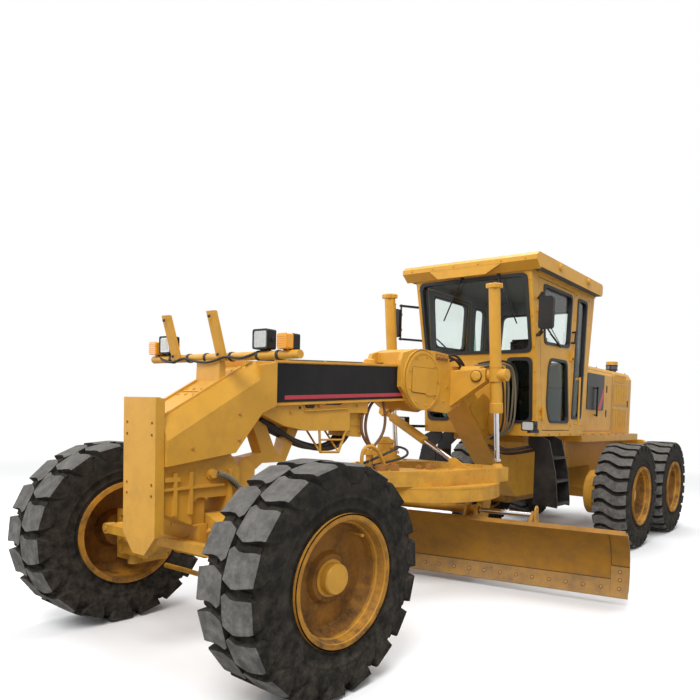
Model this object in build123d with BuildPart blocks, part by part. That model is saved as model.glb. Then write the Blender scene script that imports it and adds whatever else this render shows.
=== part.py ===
"""Motor grader: an articulated six-wheeled road grader with a cab, a turning blade and leaning front wheels.

Millimetres. The front points along -Y, the machine's own left is +X and +Z is up from the ground.
The origin lies on the ground, midway between the front tyres' tips and the rear bumper's end.
Stations are distances behind the front axle, and Y() turns a station into the model's Y.
"""

import os
from math import cos, radians, sin, tan

from build123d import *

os.makedirs("parts", exist_ok=True)

# Driving sizes of the whole machine
TYRE_R = 648
TYRE_W = 424
WHEEL_X = 1055
WHEELBASE = 6086
TANDEM_PITCH = 1523
REAR_END = WHEELBASE + 1534
FRONT_AXLE_Y = (TYRE_R - REAR_END) / 2
WHEEL_Z = TYRE_R
RUNNING_GAP = 0.1
SEAT_GAP = 0.3

# Stations of the main pieces, behind the front axle
TANDEM_S = WHEELBASE
REAR_WHEEL_S = (TANDEM_S - TANDEM_PITCH / 2, TANDEM_S + TANDEM_PITCH / 2)
HITCH_S = 4780
CIRCLE_S = 2380
BALL_S = 300
CAB_HALF_W = 710
FLOOR_Z = 1380


def Y(station):
    return FRONT_AXLE_Y + station


def at_x(x):
    """Upright plane across the machine at x; sketch coordinates are Y and Z, and it extrudes to the left."""
    return Plane.YZ.offset(x)


def at_y(y):
    """Upright plane along the axles at y; sketch coordinates are X and Z, and it extrudes to the front."""
    return Plane.XZ.offset(-y)


def at_z(z):
    """Level plane at z; sketch coordinates are X and Y, and it extrudes upwards."""
    return Plane.XY.offset(z)


def save(piece, label):
    piece.label = label
    export_step(piece, f"parts/{label}.step")


def other_side(piece):
    return mirror(piece, about=Plane.YZ)


# Tyres: the carcass is one turned profile, and the lugs stand on it out to the tread's radius
RIM_R = 345
TREAD_R = 612
LUG_EMBED = 34
FRONT_LUGS = 18
REAR_LUGS = 25
BEAD_HALF = 185
SIDEWALL_R = 520
SHOULDER_HALF = 196


def tyre_carcass():
    """Closed carcass about the X axis, from the bead seat out to the tread band."""
    with BuildPart() as carcass:
        with BuildSketch(Plane.XZ):
            with BuildLine():
                Polyline(
                    (BEAD_HALF, SIDEWALL_R - 150),
                    (BEAD_HALF, RIM_R),
                    (-BEAD_HALF, RIM_R),
                    (-BEAD_HALF, SIDEWALL_R - 150),
                )
                ThreePointArc(
                    (BEAD_HALF, SIDEWALL_R - 150),
                    (TYRE_W / 2, SIDEWALL_R - 40),
                    (SHOULDER_HALF, TREAD_R - 30),
                )
                ThreePointArc(
                    (-BEAD_HALF, SIDEWALL_R - 150),
                    (-TYRE_W / 2, SIDEWALL_R - 40),
                    (-SHOULDER_HALF, TREAD_R - 30),
                )
                Polyline(
                    (SHOULDER_HALF, TREAD_R - 30),
                    (SHOULDER_HALF - 40, TREAD_R),
                    (-SHOULDER_HALF + 40, TREAD_R),
                    (-SHOULDER_HALF, TREAD_R - 30),
                )
            make_face()
        revolve(axis=Axis.X)
    return carcass.part


def lug_planes(count, turn):
    """Planes that face outwards round the tyre, with X across it."""
    planes = []
    for number in range(count):
        angle = radians(360 / count * (number + turn))
        planes.append(
            Plane(
                origin=(0, 0, 0),
                x_dir=(1, 0, 0),
                z_dir=(0, sin(angle), cos(angle)),
            ).offset(TREAD_R - LUG_EMBED)
        )
    return planes


def tyre(count, outlines):
    """Carcass with lugs; each outline is (turn in pitches, corners as across and along)."""
    with BuildPart() as whole:
        add(tyre_carcass())
        for turn, corners in outlines:
            half_long = max(abs(along) for _, along in corners)
            flat_r = (TYRE_R**2 - half_long**2) ** 0.5
            with BuildSketch(*lug_planes(count, turn)):
                Polygon(*corners, align=None)
            extrude(amount=flat_r - TREAD_R + LUG_EMBED)
    return whole.part


# Corners of the lugs, across the tyre from its middle and along its tread
LUG_OUT = TYRE_W / 2 - 3
FRONT_LUG = [
    (6, -78),
    (78, -98),
    (LUG_OUT, -62),
    (LUG_OUT, 58),
    (84, 64),
    (30, 92),
    (6, 60),
]
REAR_LUG = [
    (-LUG_OUT, 57),
    (-120, 87),
    (-50, 72),
    (50, 8),
    (120, 6),
    (LUG_OUT, 24),
    (LUG_OUT, -90),
    (120, -108),
    (50, -106),
    (-50, -42),
    (-120, -27),
    (-LUG_OUT, -57),
]
front_tyre = tyre(
    FRONT_LUGS,
    [
        (0.25, FRONT_LUG),
        (0.75, [(-across, -along) for across, along in FRONT_LUG]),
    ],
)
rear_tyre = tyre(REAR_LUGS, [(0, REAR_LUG)])

# Rims: a deep dish with a flange at each bead, a disc and a hub with a round cap
FLANGE_R = 371
FLANGE_HALF = 215
RIM_WALL = 16
BARREL_R = RIM_R - SEAT_GAP
DISC_X = 40
DISC_T = 22
HUB_R = 150
HUB_CAP_R = 62
HUB_CAP_OUT = 150
SPINDLE_R = 45
HUB_IN = -60


def rim(cap_out, bore_r):
    """Rim about the X axis with its open dish towards +X; the hub's bore takes a spindle from -X."""
    with BuildPart() as turned:
        with BuildSketch(Plane.XZ):
            with BuildLine():
                Polyline(
                    (-FLANGE_HALF, FLANGE_R),
                    (-FLANGE_HALF + RIM_WALL, FLANGE_R),
                    (-BEAD_HALF - SEAT_GAP, BARREL_R + RIM_WALL),
                    (-BEAD_HALF - SEAT_GAP, BARREL_R),
                    (BEAD_HALF + SEAT_GAP, BARREL_R),
                    (BEAD_HALF + SEAT_GAP, BARREL_R + RIM_WALL),
                    (FLANGE_HALF - RIM_WALL, FLANGE_R),
                    (FLANGE_HALF, FLANGE_R),
                    (FLANGE_HALF, BARREL_R - 8),
                    (BEAD_HALF - 30, BARREL_R - 26),
                    (DISC_X + DISC_T + 30, BARREL_R - 46),
                    (DISC_X + DISC_T, BARREL_R - 76),
                    (DISC_X + DISC_T, HUB_R),
                    (cap_out - 60, HUB_R - 20),
                    (cap_out - 55, HUB_CAP_R),
                    (cap_out, HUB_CAP_R - 12),
                    (cap_out, 0),
                    (0, 0),
                    (0, bore_r),
                    (HUB_IN, bore_r),
                    (HUB_IN, HUB_R - 30),
                    (DISC_X, HUB_R - 10),
                    (DISC_X, BARREL_R - 70),
                    (DISC_X - 30, BARREL_R - RIM_WALL - 10),
                    (-FLANGE_HALF, BARREL_R - RIM_WALL + 8),
                    close=True,
                )
            make_face()
        revolve(axis=Axis.X)
    return turned.part


front_rim = rim(HUB_CAP_OUT, SPINDLE_R + RUNNING_GAP)
rear_rim = rim(110, SPINDLE_R + RUNNING_GAP)

for side, x, turn in (("left", WHEEL_X, 0), ("right", -WHEEL_X, 180)):
    place = Pos(x, Y(0), WHEEL_Z) * Rot(0, 0, turn)
    save(place * front_tyre, f"front_tyre_{side}")
    save(place * front_rim, f"front_rim_{side}")
    for row, station in (("fore", REAR_WHEEL_S[0]), ("aft", REAR_WHEEL_S[1])):
        place = Pos(x, Y(station), WHEEL_Z) * Rot(0, 0, turn)
        save(place * rear_tyre, f"{row}_tyre_{side}")
        save(place * rear_rim, f"{row}_rim_{side}")

# Front axle: an arched beam whose ends are forks for the leaning wheel housings
PIVOT_X = 800
LEAN_Z = 560
LEAN_PIN_R = 25
FORK_R = 56
FORK_IN = 55
FORK_OUT = 95
FORK_ROOT_X = 640
BEAM_HALF_T = 65
ARCH_Z = 800
AXLE_PIVOT_R = 60
AXLE_PIVOT_HALF = 150

with BuildPart() as front_axle:
    with BuildSketch(at_y(Y(-BEAM_HALF_T))):
        with BuildLine():
            Polyline(
                (FORK_ROOT_X + 60, LEAN_Z + 60),
                (FORK_ROOT_X + 60, LEAN_Z - 60),
                (FORK_ROOT_X - 90, LEAN_Z - 60),
                (380, ARCH_Z - 190),
                (180, ARCH_Z - 120),
                (-180, ARCH_Z - 120),
                (-380, ARCH_Z - 190),
                (-FORK_ROOT_X + 90, LEAN_Z - 60),
                (-FORK_ROOT_X - 60, LEAN_Z - 60),
                (-FORK_ROOT_X - 60, LEAN_Z + 60),
                (-FORK_ROOT_X + 60, LEAN_Z + 90),
                (-300, ARCH_Z + 30),
                (-120, ARCH_Z + 95),
                (120, ARCH_Z + 95),
                (300, ARCH_Z + 30),
                (FORK_ROOT_X - 60, LEAN_Z + 90),
                close=True,
            )
        make_face()
    extrude(amount=-2 * BEAM_HALF_T)
    # Fork ears ahead of and behind each lean housing
    for sign in (-1, 1):
        for inner in (-FORK_OUT, FORK_IN):
            with BuildSketch(at_y(Y(inner))):
                with Locations((sign * PIVOT_X, LEAN_Z)):
                    Circle(FORK_R)
                with Locations((sign * (PIVOT_X + FORK_ROOT_X) / 2, LEAN_Z)):
                    Rectangle(PIVOT_X - FORK_ROOT_X, 2 * FORK_R - 24)
            extrude(amount=-(FORK_OUT - FORK_IN))
        with BuildSketch(at_y(Y(-FORK_OUT))):
            with Locations((sign * PIVOT_X, LEAN_Z)):
                Circle(LEAN_PIN_R + RUNNING_GAP)
        extrude(amount=-2 * FORK_OUT, mode=Mode.SUBTRACT)
    # Bore for the pin on which the whole axle rocks
    with BuildSketch(at_y(Y(-BEAM_HALF_T))):
        with Locations((0, ARCH_Z)):
            Circle(AXLE_PIVOT_R + RUNNING_GAP)
    extrude(amount=-2 * BEAM_HALF_T, mode=Mode.SUBTRACT)
save(front_axle.part, "front_axle")

# Lean housings: each hangs on its fork's pin and holds the wheel's upright kingpin
HOUSING_R = 48
HOUSING_LOW = 500
HOUSING_HIGH = 760
KINGPIN_R = 24
BAR_PIN_Z = 705
BAR_PIN_R = 18
BAR_S = -185
BAR_HALF = 30

with BuildPart() as lean_housing:
    with BuildSketch(at_z(HOUSING_LOW)):
        with Locations((PIVOT_X, Y(0))):
            Circle(HOUSING_R)
    extrude(amount=HOUSING_HIGH - HOUSING_LOW)
    with BuildSketch(at_y(Y(-FORK_OUT - 12))):
        with Locations((PIVOT_X, LEAN_Z)):
            Circle(LEAN_PIN_R)
    extrude(amount=-2 * (FORK_OUT + 12))
    # Boss and pin for the bar that joins both housings, ahead of the axle
    with BuildSketch(at_y(Y(0))):
        with Locations((PIVOT_X, BAR_PIN_Z)):
            Circle(BAR_PIN_R + 14)
    extrude(amount=-BAR_S - BAR_HALF - 4)
    with BuildSketch(at_y(Y(0))):
        with Locations((PIVOT_X, BAR_PIN_Z)):
            Circle(BAR_PIN_R)
    extrude(amount=-BAR_S + BAR_HALF + 8)
    with BuildSketch(at_z(HOUSING_LOW)):
        with Locations((PIVOT_X, Y(0))):
            Circle(KINGPIN_R + RUNNING_GAP)
    extrude(amount=HOUSING_HIGH - HOUSING_LOW, mode=Mode.SUBTRACT)
save(lean_housing.part, "lean_housing_left")
save(other_side(lean_housing.part), "lean_housing_right")

with BuildPart() as lean_bar:
    with BuildSketch(at_y(Y(BAR_S - BAR_HALF))):
        with Locations((0, BAR_PIN_Z)):
            Rectangle(2 * PIVOT_X - 60, 2 * BAR_HALF)
        with Locations((-PIVOT_X, BAR_PIN_Z), (PIVOT_X, BAR_PIN_Z)):
            Circle(BAR_HALF + 8)
        with Locations((-PIVOT_X, BAR_PIN_Z), (PIVOT_X, BAR_PIN_Z)):
            Circle(BAR_PIN_R + RUNNING_GAP, mode=Mode.SUBTRACT)
    extrude(amount=-2 * BAR_HALF)
save(lean_bar.part, "lean_bar")

# Steering knuckles: a C-shaped fork round the lean housing, the spindle and the steering arm
KNUCKLE_GAP = 5
KNUCKLE_T = 42
KNUCKLE_R = 46
WEB_X = 928
WEB_T = 34
SPINDLE_END = WHEEL_X - 20
ARM_LONG = 220
ARM_HALF = 32
ARM_T = 28
ARM_LOW = HOUSING_LOW - KNUCKLE_GAP - KNUCKLE_T - ARM_T

with BuildPart() as knuckle:
    for low in (HOUSING_LOW - KNUCKLE_GAP - KNUCKLE_T, HOUSING_HIGH + KNUCKLE_GAP):
        with BuildSketch(at_z(low)):
            with Locations((PIVOT_X, Y(0))):
                Circle(KNUCKLE_R)
            with Locations(((PIVOT_X + WEB_X + WEB_T) / 2, Y(0))):
                Rectangle(WEB_X + WEB_T - PIVOT_X, 2 * KNUCKLE_R - 8)
        extrude(amount=KNUCKLE_T)
    with BuildSketch(at_x(WEB_X)):
        with Locations((Y(0), (HOUSING_LOW + HOUSING_HIGH) / 2)):
            Rectangle(2 * KNUCKLE_R - 8, HOUSING_HIGH - HOUSING_LOW + 2 * KNUCKLE_T)
    extrude(amount=WEB_T)
    with BuildSketch(at_z(HOUSING_LOW - KNUCKLE_GAP - KNUCKLE_T)):
        with Locations((PIVOT_X, Y(0))):
            Circle(KINGPIN_R)
    extrude(amount=HOUSING_HIGH - HOUSING_LOW + 2 * KNUCKLE_T + 2 * KNUCKLE_GAP)
    # Spindle with the shoulder that the hub turns against
    with BuildSketch(at_x(WEB_X)):
        with Locations((Y(0), WHEEL_Z)):
            Circle(SPINDLE_R)
    extrude(amount=SPINDLE_END - WEB_X)
    # Arm to the tie rod, under the lower ear and behind the axle
    with BuildSketch(at_z(ARM_LOW)):
        with Locations((PIVOT_X, Y(ARM_LONG / 2))):
            Rectangle(2 * ARM_HALF, ARM_LONG)
        with Locations((PIVOT_X, Y(ARM_LONG))):
            Circle(ARM_HALF)
        with Locations((PIVOT_X, Y(0))):
            Circle(KNUCKLE_R)
        with Locations((PIVOT_X, Y(ARM_LONG))):
            Circle(BAR_PIN_R + RUNNING_GAP, mode=Mode.SUBTRACT)
    extrude(amount=ARM_T)
save(knuckle.part, "knuckle_left")
save(other_side(knuckle.part), "knuckle_right")

# Tie rod: an end joint under the left arm, and the tube across to the right arm
TIE_Z = ARM_LOW - 50
TIE_R = 24
TIE_TUBE_R = 18
CROSS_R = 14
CHEEK_IN = 18
CHEEK_T = 10
CHEEK_R = 20

with BuildPart() as tie_rod_end:
    with BuildSketch(at_z(TIE_Z + CHEEK_R + 8)):
        with Locations((PIVOT_X, Y(ARM_LONG))):
            Circle(TIE_R)
    extrude(amount=ARM_LOW - TIE_Z - CHEEK_R - 8 - SEAT_GAP)
    with BuildSketch(at_z(TIE_Z - CROSS_R)):
        with Locations((PIVOT_X, Y(ARM_LONG))):
            Circle(CROSS_R)
    extrude(amount=ARM_LOW - TIE_Z)
    with BuildSketch(at_z(ARM_LOW - SEAT_GAP)):
        with Locations((PIVOT_X, Y(ARM_LONG))):
            Circle(BAR_PIN_R)
    extrude(amount=ARM_T + SEAT_GAP)
    with BuildSketch(at_y(Y(ARM_LONG - CHEEK_IN - CHEEK_T))):
        with Locations((PIVOT_X, TIE_Z)):
            Circle(10)
    extrude(amount=-2 * CHEEK_IN - 2 * CHEEK_T)
save(tie_rod_end.part, "tie_rod_end")

with BuildPart() as tie_rod:
    with BuildSketch(at_x(-PIVOT_X + 40)):
        with Locations((Y(ARM_LONG), TIE_Z)):
            Circle(TIE_TUBE_R)
    extrude(amount=2 * PIVOT_X - 110)
    # Clevis round the left end joint
    for inner in (CHEEK_IN, -CHEEK_IN - CHEEK_T):
        with BuildSketch(at_y(Y(ARM_LONG + inner))):
            with Locations((PIVOT_X, TIE_Z)):
                Circle(CHEEK_R)
            with Locations((PIVOT_X - 40, TIE_Z)):
                Rectangle(80, 2 * TIE_TUBE_R)
            with Locations((PIVOT_X, TIE_Z)):
                Circle(10 + RUNNING_GAP, mode=Mode.SUBTRACT)
        extrude(amount=-CHEEK_T)
    with BuildSketch(at_x(PIVOT_X - 82)):
        with Locations((Y(ARM_LONG), TIE_Z)):
            Rectangle(2 * CHEEK_IN + 2 * CHEEK_T, 2 * TIE_TUBE_R)
    extrude(amount=20)
save(tie_rod.part, "tie_rod")

# Front frame: nose, box beam that rises to the rear, gooseneck, and the hitch ears under the cab
BEAM_HALF_W = 150
BEAM_H = 315
BEAM_START_S = 430
BEAM_START_Z = 1592
BEAM_SLOPE = tan(radians(3.6))
NOSE_HALF_W = 190
HITCH_R = 140
HITCH_PIN_R = 45
EAR_TOP = 1262
EAR_BOTTOM = 640
EAR_T = 70
NECK_TOP = 1300


def beam_bottom(station):
    return BEAM_START_Z + BEAM_SLOPE * (station - BEAM_START_S)


BALL_Z = 1080
BALL_R = 55
NOSE_BACK = (200, 1840)
NOSE_FRONT = (-380, 1490)
RIDGE_X = 140
BEVEL_END_S = 285
COVER_LOW = 1419


def nose_top(station):
    rise = (NOSE_BACK[1] - NOSE_FRONT[1]) / (NOSE_BACK[0] - NOSE_FRONT[0])
    return NOSE_FRONT[1] + rise * (station - NOSE_FRONT[0])


NECK_S = 2850
with BuildPart() as front_frame:
    with BuildSketch(at_x(0)):
        with BuildLine():
            Polyline(
                (Y(200), beam_bottom(200) + BEAM_H - 10),
                (Y(2780), beam_bottom(2780) + BEAM_H),
                (Y(3180), 1720),
                (Y(3420), 1360),
                (Y(3600), NECK_TOP),
                (Y(4540), NECK_TOP),
                (Y(4580), EAR_TOP),
                (Y(HITCH_S - HITCH_R), EAR_TOP),
                (Y(HITCH_S - HITCH_R), EAR_BOTTOM),
                (Y(4100), EAR_BOTTOM),
                (Y(3950), 740),
                (Y(3550), 1100),
                (Y(NECK_S), beam_bottom(NECK_S)),
                (Y(BEAM_START_S), beam_bottom(BEAM_START_S)),
                (Y(200), beam_bottom(200) - 60),
                close=True,
            )
        make_face()
    extrude(amount=BEAM_HALF_W, both=True)
    # Hitch ears round the upright pin
    for low in (EAR_BOTTOM, EAR_TOP - EAR_T):
        with BuildSketch(at_z(low)):
            with Locations((0, Y(HITCH_S))):
                Circle(HITCH_R)
            with Locations((0, Y(HITCH_S - HITCH_R))):
                Rectangle(2 * HITCH_R, 2 * HITCH_R)
        extrude(amount=EAR_T)
        with BuildSketch(at_z(low)):
            with Locations((0, Y(HITCH_S))):
                Circle(HITCH_PIN_R + RUNNING_GAP)
        extrude(amount=EAR_T, mode=Mode.SUBTRACT)
    # Nose box with its bevelled top edges
    with BuildSketch(at_x(0)):
        Polygon(
            (Y(-380), 1210),
            (Y(100), 1280),
            (Y(310), 1540),
            (Y(BEAM_START_S), beam_bottom(BEAM_START_S)),
            (Y(BEAM_START_S), beam_bottom(BEAM_START_S) + BEAM_H - 15),
            (Y(NOSE_BACK[0]), NOSE_BACK[1]),
            (Y(NOSE_FRONT[0]), NOSE_FRONT[1]),
            align=None,
        )
    extrude(amount=NOSE_HALF_W, both=True)
    # Steep bevels along the nose box's upper edges
    for sign in (-1, 1):
        for station in (-381, BEVEL_END_S):
            with BuildSketch(at_y(Y(station))):
                Polygon(
                    (sign * (RIDGE_X - 5), nose_top(station) + 13),
                    (sign * (NOSE_HALF_W + 10), nose_top(station) + 13),
                    (sign * (NOSE_HALF_W + 10), nose_top(station) - 156),
                    align=None,
                )
        loft(mode=Mode.SUBTRACT)
    # Cover under the front of the beam, with the box that hangs from it
    with BuildSketch(at_x(0)):
        Polygon(
            (Y(344), 1532),
            (Y(344), 1590),
            (Y(410), beam_bottom(410) + 20),
            (Y(1440), beam_bottom(1440) + 20),
            (Y(1430), 1564),
            (Y(1221), 1560),
            (Y(1221), COVER_LOW),
            (Y(753), COVER_LOW),
            (Y(550), 1453),
            align=None,
        )
    extrude(amount=BEAM_HALF_W - 12, both=True)
    # Braces that run from the cover down to the ball's socket
    with BuildSketch(at_x(0)):
        Polygon(
            (Y(300), 1560),
            (Y(430), 1520),
            (Y(560), 1240),
            (Y(600), 1240),
            (Y(665), COVER_LOW + 40),
            (Y(760), COVER_LOW + 10),
            (Y(640), 1190),
            (Y(430), 1190),
            (Y(330), 1120),
            (Y(240), 1120),
            (Y(240), 1230),
            (Y(420), 1262),
            align=None,
        )
    extrude(amount=50, both=True)
    # Lower bolster that carries the axle's pin
    with BuildSketch(at_x(0)):
        Polygon(
            (Y(-380), 1215),
            (Y(90), 1285),
            (Y(170), 1165),
            (Y(170), 900),
            (Y(110), ARCH_Z - 90),
            (Y(BEAM_HALF_T + 6), ARCH_Z - 90),
            (Y(BEAM_HALF_T + 6), 1000),
            (Y(-BEAM_HALF_T - 6), 1000),
            (Y(-BEAM_HALF_T - 6), ARCH_Z - 90),
            (Y(-125), ARCH_Z - 90),
            (Y(-135), 820),
            (Y(-380), 930),
            align=None,
        )
    extrude(amount=BEAM_HALF_W - 10, both=True)
    # Ribs, a flange and an arched recess on the bolster's sides
    for sign in (-1, 1):
        with BuildSketch(at_x(sign * (BEAM_HALF_W - 12))):
            for station in (-303, -197, BEAM_HALF_T + 23):
                with Locations((Y(station), 1040)):
                    Rectangle(22, 260)
            Polygon(
                (Y(-380), 1062),
                (Y(40), 1070),
                (Y(40), 1086),
                (Y(-380), 1078),
                align=None,
            )
            with Locations((Y(-322), 1130)):
                Rectangle(104, 28)
            with Locations((Y(-51), 1149)):
                Circle(26)
        extrude(amount=sign * 24)
        with BuildSketch(at_x(sign * BEAM_HALF_W)):
            with Locations((Y(-118), 944)):
                Circle(62)
            with Locations((Y(-118), 890)):
                Rectangle(124, 108)
        extrude(amount=-sign * 40, mode=Mode.SUBTRACT)
    with BuildSketch(at_y(Y(-AXLE_PIVOT_HALF + 20))):
        with Locations((0, ARCH_Z)):
            Circle(AXLE_PIVOT_R)
    extrude(amount=-2 * AXLE_PIVOT_HALF + 40)
    # Socket round the drawbar's ball, open at the back for its neck
    with BuildSketch(at_x(-95)):
        Polygon(
            (Y(160), 1170),
            (Y(245), 1240),
            (Y(BALL_S + 30), 1170),
            (Y(BALL_S + 30), 1000),
            (Y(160), 950),
            align=None,
        )
    extrude(amount=190)
    with Locations((0, Y(BALL_S), BALL_Z)):
        Sphere(BALL_R + RUNNING_GAP, mode=Mode.SUBTRACT)
    with Locations((0, Y(BALL_S + 30), BALL_Z)):
        Box(84, 30, 108, mode=Mode.SUBTRACT)
save(front_frame.part, "front_frame")

# Push plate on the nose
PLATE_S = -440
PLATE_T = 30
PLATE_HALF_W = 168
PLATE_TOP = 1615
with BuildPart() as push_plate:
    with BuildSketch(at_y(Y(PLATE_S))):
        Polygon(
            (-PLATE_HALF_W, PLATE_TOP),
            (PLATE_HALF_W, PLATE_TOP),
            (PLATE_HALF_W, 795),
            (60, 680),
            (-60, 680),
            (-PLATE_HALF_W, 795),
            align=None,
        )
    extrude(amount=-PLATE_T)
    for sign in (-1, 1):
        with BuildSketch(at_x(sign * (PLATE_HALF_W - 12))):
            with Locations((Y(PLATE_S + 41), (PLATE_TOP + 800) / 2)):
                Rectangle(32, PLATE_TOP - 810)
        extrude(amount=12, both=True)
    with BuildSketch(at_y(Y(PLATE_S))):
        with Locations(
            (-130, 1462), (-130, 1392), (130, 1462), (130, 1392), (-130, 1100), (-130, 1035), (130, 1100), (130, 1035)
        ):
            Circle(11)
    extrude(amount=-PLATE_T, mode=Mode.SUBTRACT)
    # Spacers that stand the plate off the nose
    with BuildSketch(at_y(Y(-380 - SEAT_GAP))):
        with Locations((0, 1350), (0, 1060)):
            Rectangle(200, 120)
    extrude(amount=-(PLATE_S + PLATE_T) - 380 - SEAT_GAP)
save(push_plate.part, "push_plate")

# Light bar: a tube across the nose, two flat guard posts, and the lamps' stands
LIGHT_BAR_S = 40
LIGHT_BAR_Z = 1890
LIGHT_BAR_ENDS = (-640, 830)
POST_W = 84
with BuildPart() as light_bar:
    with BuildSketch(at_x(LIGHT_BAR_ENDS[0])):
        with Locations((Y(LIGHT_BAR_S), LIGHT_BAR_Z)):
            Circle(26)
    extrude(amount=LIGHT_BAR_ENDS[1] - LIGHT_BAR_ENDS[0])
    for x in (-330, 150):
        with BuildSketch(at_x(x - POST_W / 2)):
            Polygon(
                (Y(LIGHT_BAR_S - 14), LIGHT_BAR_Z - 20),
                (Y(LIGHT_BAR_S - 34), LIGHT_BAR_Z - 20),
                (Y(LIGHT_BAR_S - 118), LIGHT_BAR_Z + 275),
                (Y(LIGHT_BAR_S - 98), LIGHT_BAR_Z + 275),
                align=None,
            )
        extrude(amount=POST_W)
    with BuildSketch(at_x(-120)):
        Polygon(
            (Y(LIGHT_BAR_S - 25), nose_top(LIGHT_BAR_S - 25) + SEAT_GAP),
            (Y(LIGHT_BAR_S + 25), nose_top(LIGHT_BAR_S + 25) + SEAT_GAP),
            (Y(LIGHT_BAR_S + 20), LIGHT_BAR_Z),
            (Y(LIGHT_BAR_S - 20), LIGHT_BAR_Z),
            align=None,
        )
    extrude(amount=240)
save(light_bar.part, "light_bar")

LAMP_X = (-460, 520)
LAMP_Z = 1985
SIGNAL_X = (-590, 725)
with BuildPart() as head_lamps:
    for x in LAMP_X:
        with BuildSketch(at_y(Y(LIGHT_BAR_S))):
            with Locations((x, LAMP_Z)):
                RectangleRounded(135, 120, 12)
        extrude(amount=30, both=True)
        with BuildSketch(at_z(LIGHT_BAR_Z + 26 + SEAT_GAP)):
            with Locations((x, Y(LIGHT_BAR_S))):
                Circle(10)
        extrude(amount=LAMP_Z - LIGHT_BAR_Z - 60)
    # Work lamps on posts at the cab's front corners
    for sign in (-1, 1):
        with BuildSketch(at_y(Y(3060))):
            with Locations((sign * 790, 1490)):
                RectangleRounded(140, 100, 16)
        extrude(amount=-70)
        with BuildSketch(at_z(FLOOR_Z + 40)):
            Polygon(
                (sign * 775, Y(3075)),
                (sign * 805, Y(3075)),
                (sign * 790, Y(3300)),
                (sign * (CAB_HALF_W + SEAT_GAP), Y(3480)),
                (sign * (CAB_HALF_W + SEAT_GAP), Y(3430)),
                align=None,
            )
        extrude(amount=30)
save(head_lamps.part, "head_lamps")

with BuildPart() as signal_lamps:
    for x in SIGNAL_X:
        with BuildSketch(at_y(Y(LIGHT_BAR_S))):
            with Locations((x, LAMP_Z - 20)):
                RectangleRounded(90, 90, 10)
        extrude(amount=45, both=True)
        with BuildSketch(at_z(LIGHT_BAR_Z + 26 + SEAT_GAP)):
            with Locations((x, Y(LIGHT_BAR_S))):
                Circle(8)
        extrude(amount=40)
save(signal_lamps.part, "signal_lamps")

# Lift linkage: cylinders that lean back at their feet, swung from arms beside the beam
TRUNNION_X = 620
LIFT_BALL_S = 2780
LIFT_BALL_Z = 1070
LIFT_TOP_S = 2600
LIFT_TOP_Z = 2800
TRUNNION_Z = 1960
TRUNNION_S = LIFT_BALL_S - (LIFT_BALL_S - LIFT_TOP_S) * (TRUNNION_Z - LIFT_BALL_Z) / (LIFT_TOP_Z - LIFT_BALL_Z)
LIFT_LONG = ((LIFT_BALL_S - LIFT_TOP_S) ** 2 + (LIFT_TOP_Z - LIFT_BALL_Z) ** 2) ** 0.5
LIFT_TRUNNION = LIFT_LONG * (TRUNNION_Z - LIFT_BALL_Z) / (LIFT_TOP_Z - LIFT_BALL_Z)
TRUNNION_R = 30
ARM_END_X = 540
SADDLE_T = 60
SADDLE_TOP = 2157


def lift_plane(x, along):
    """Plane square to the lift cylinder at x, `along` millimetres up from its ball."""
    return Plane(
        origin=(x, Y(LIFT_BALL_S), LIFT_BALL_Z),
        x_dir=(1, 0, 0),
        z_dir=(0, LIFT_TOP_S - LIFT_BALL_S, LIFT_TOP_Z - LIFT_BALL_Z),
    ).offset(along)


# Centre shift: the cylinder across the machine, from the saddle's bracket to the drawbar
SHIFT_S = 2400
SHIFT_TAIL = (-470, 1580)
SHIFT_BALL = (370, 1140)
SHIFT_PIN_R = 20
SHIFT_EYE_HALF = 25

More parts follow.
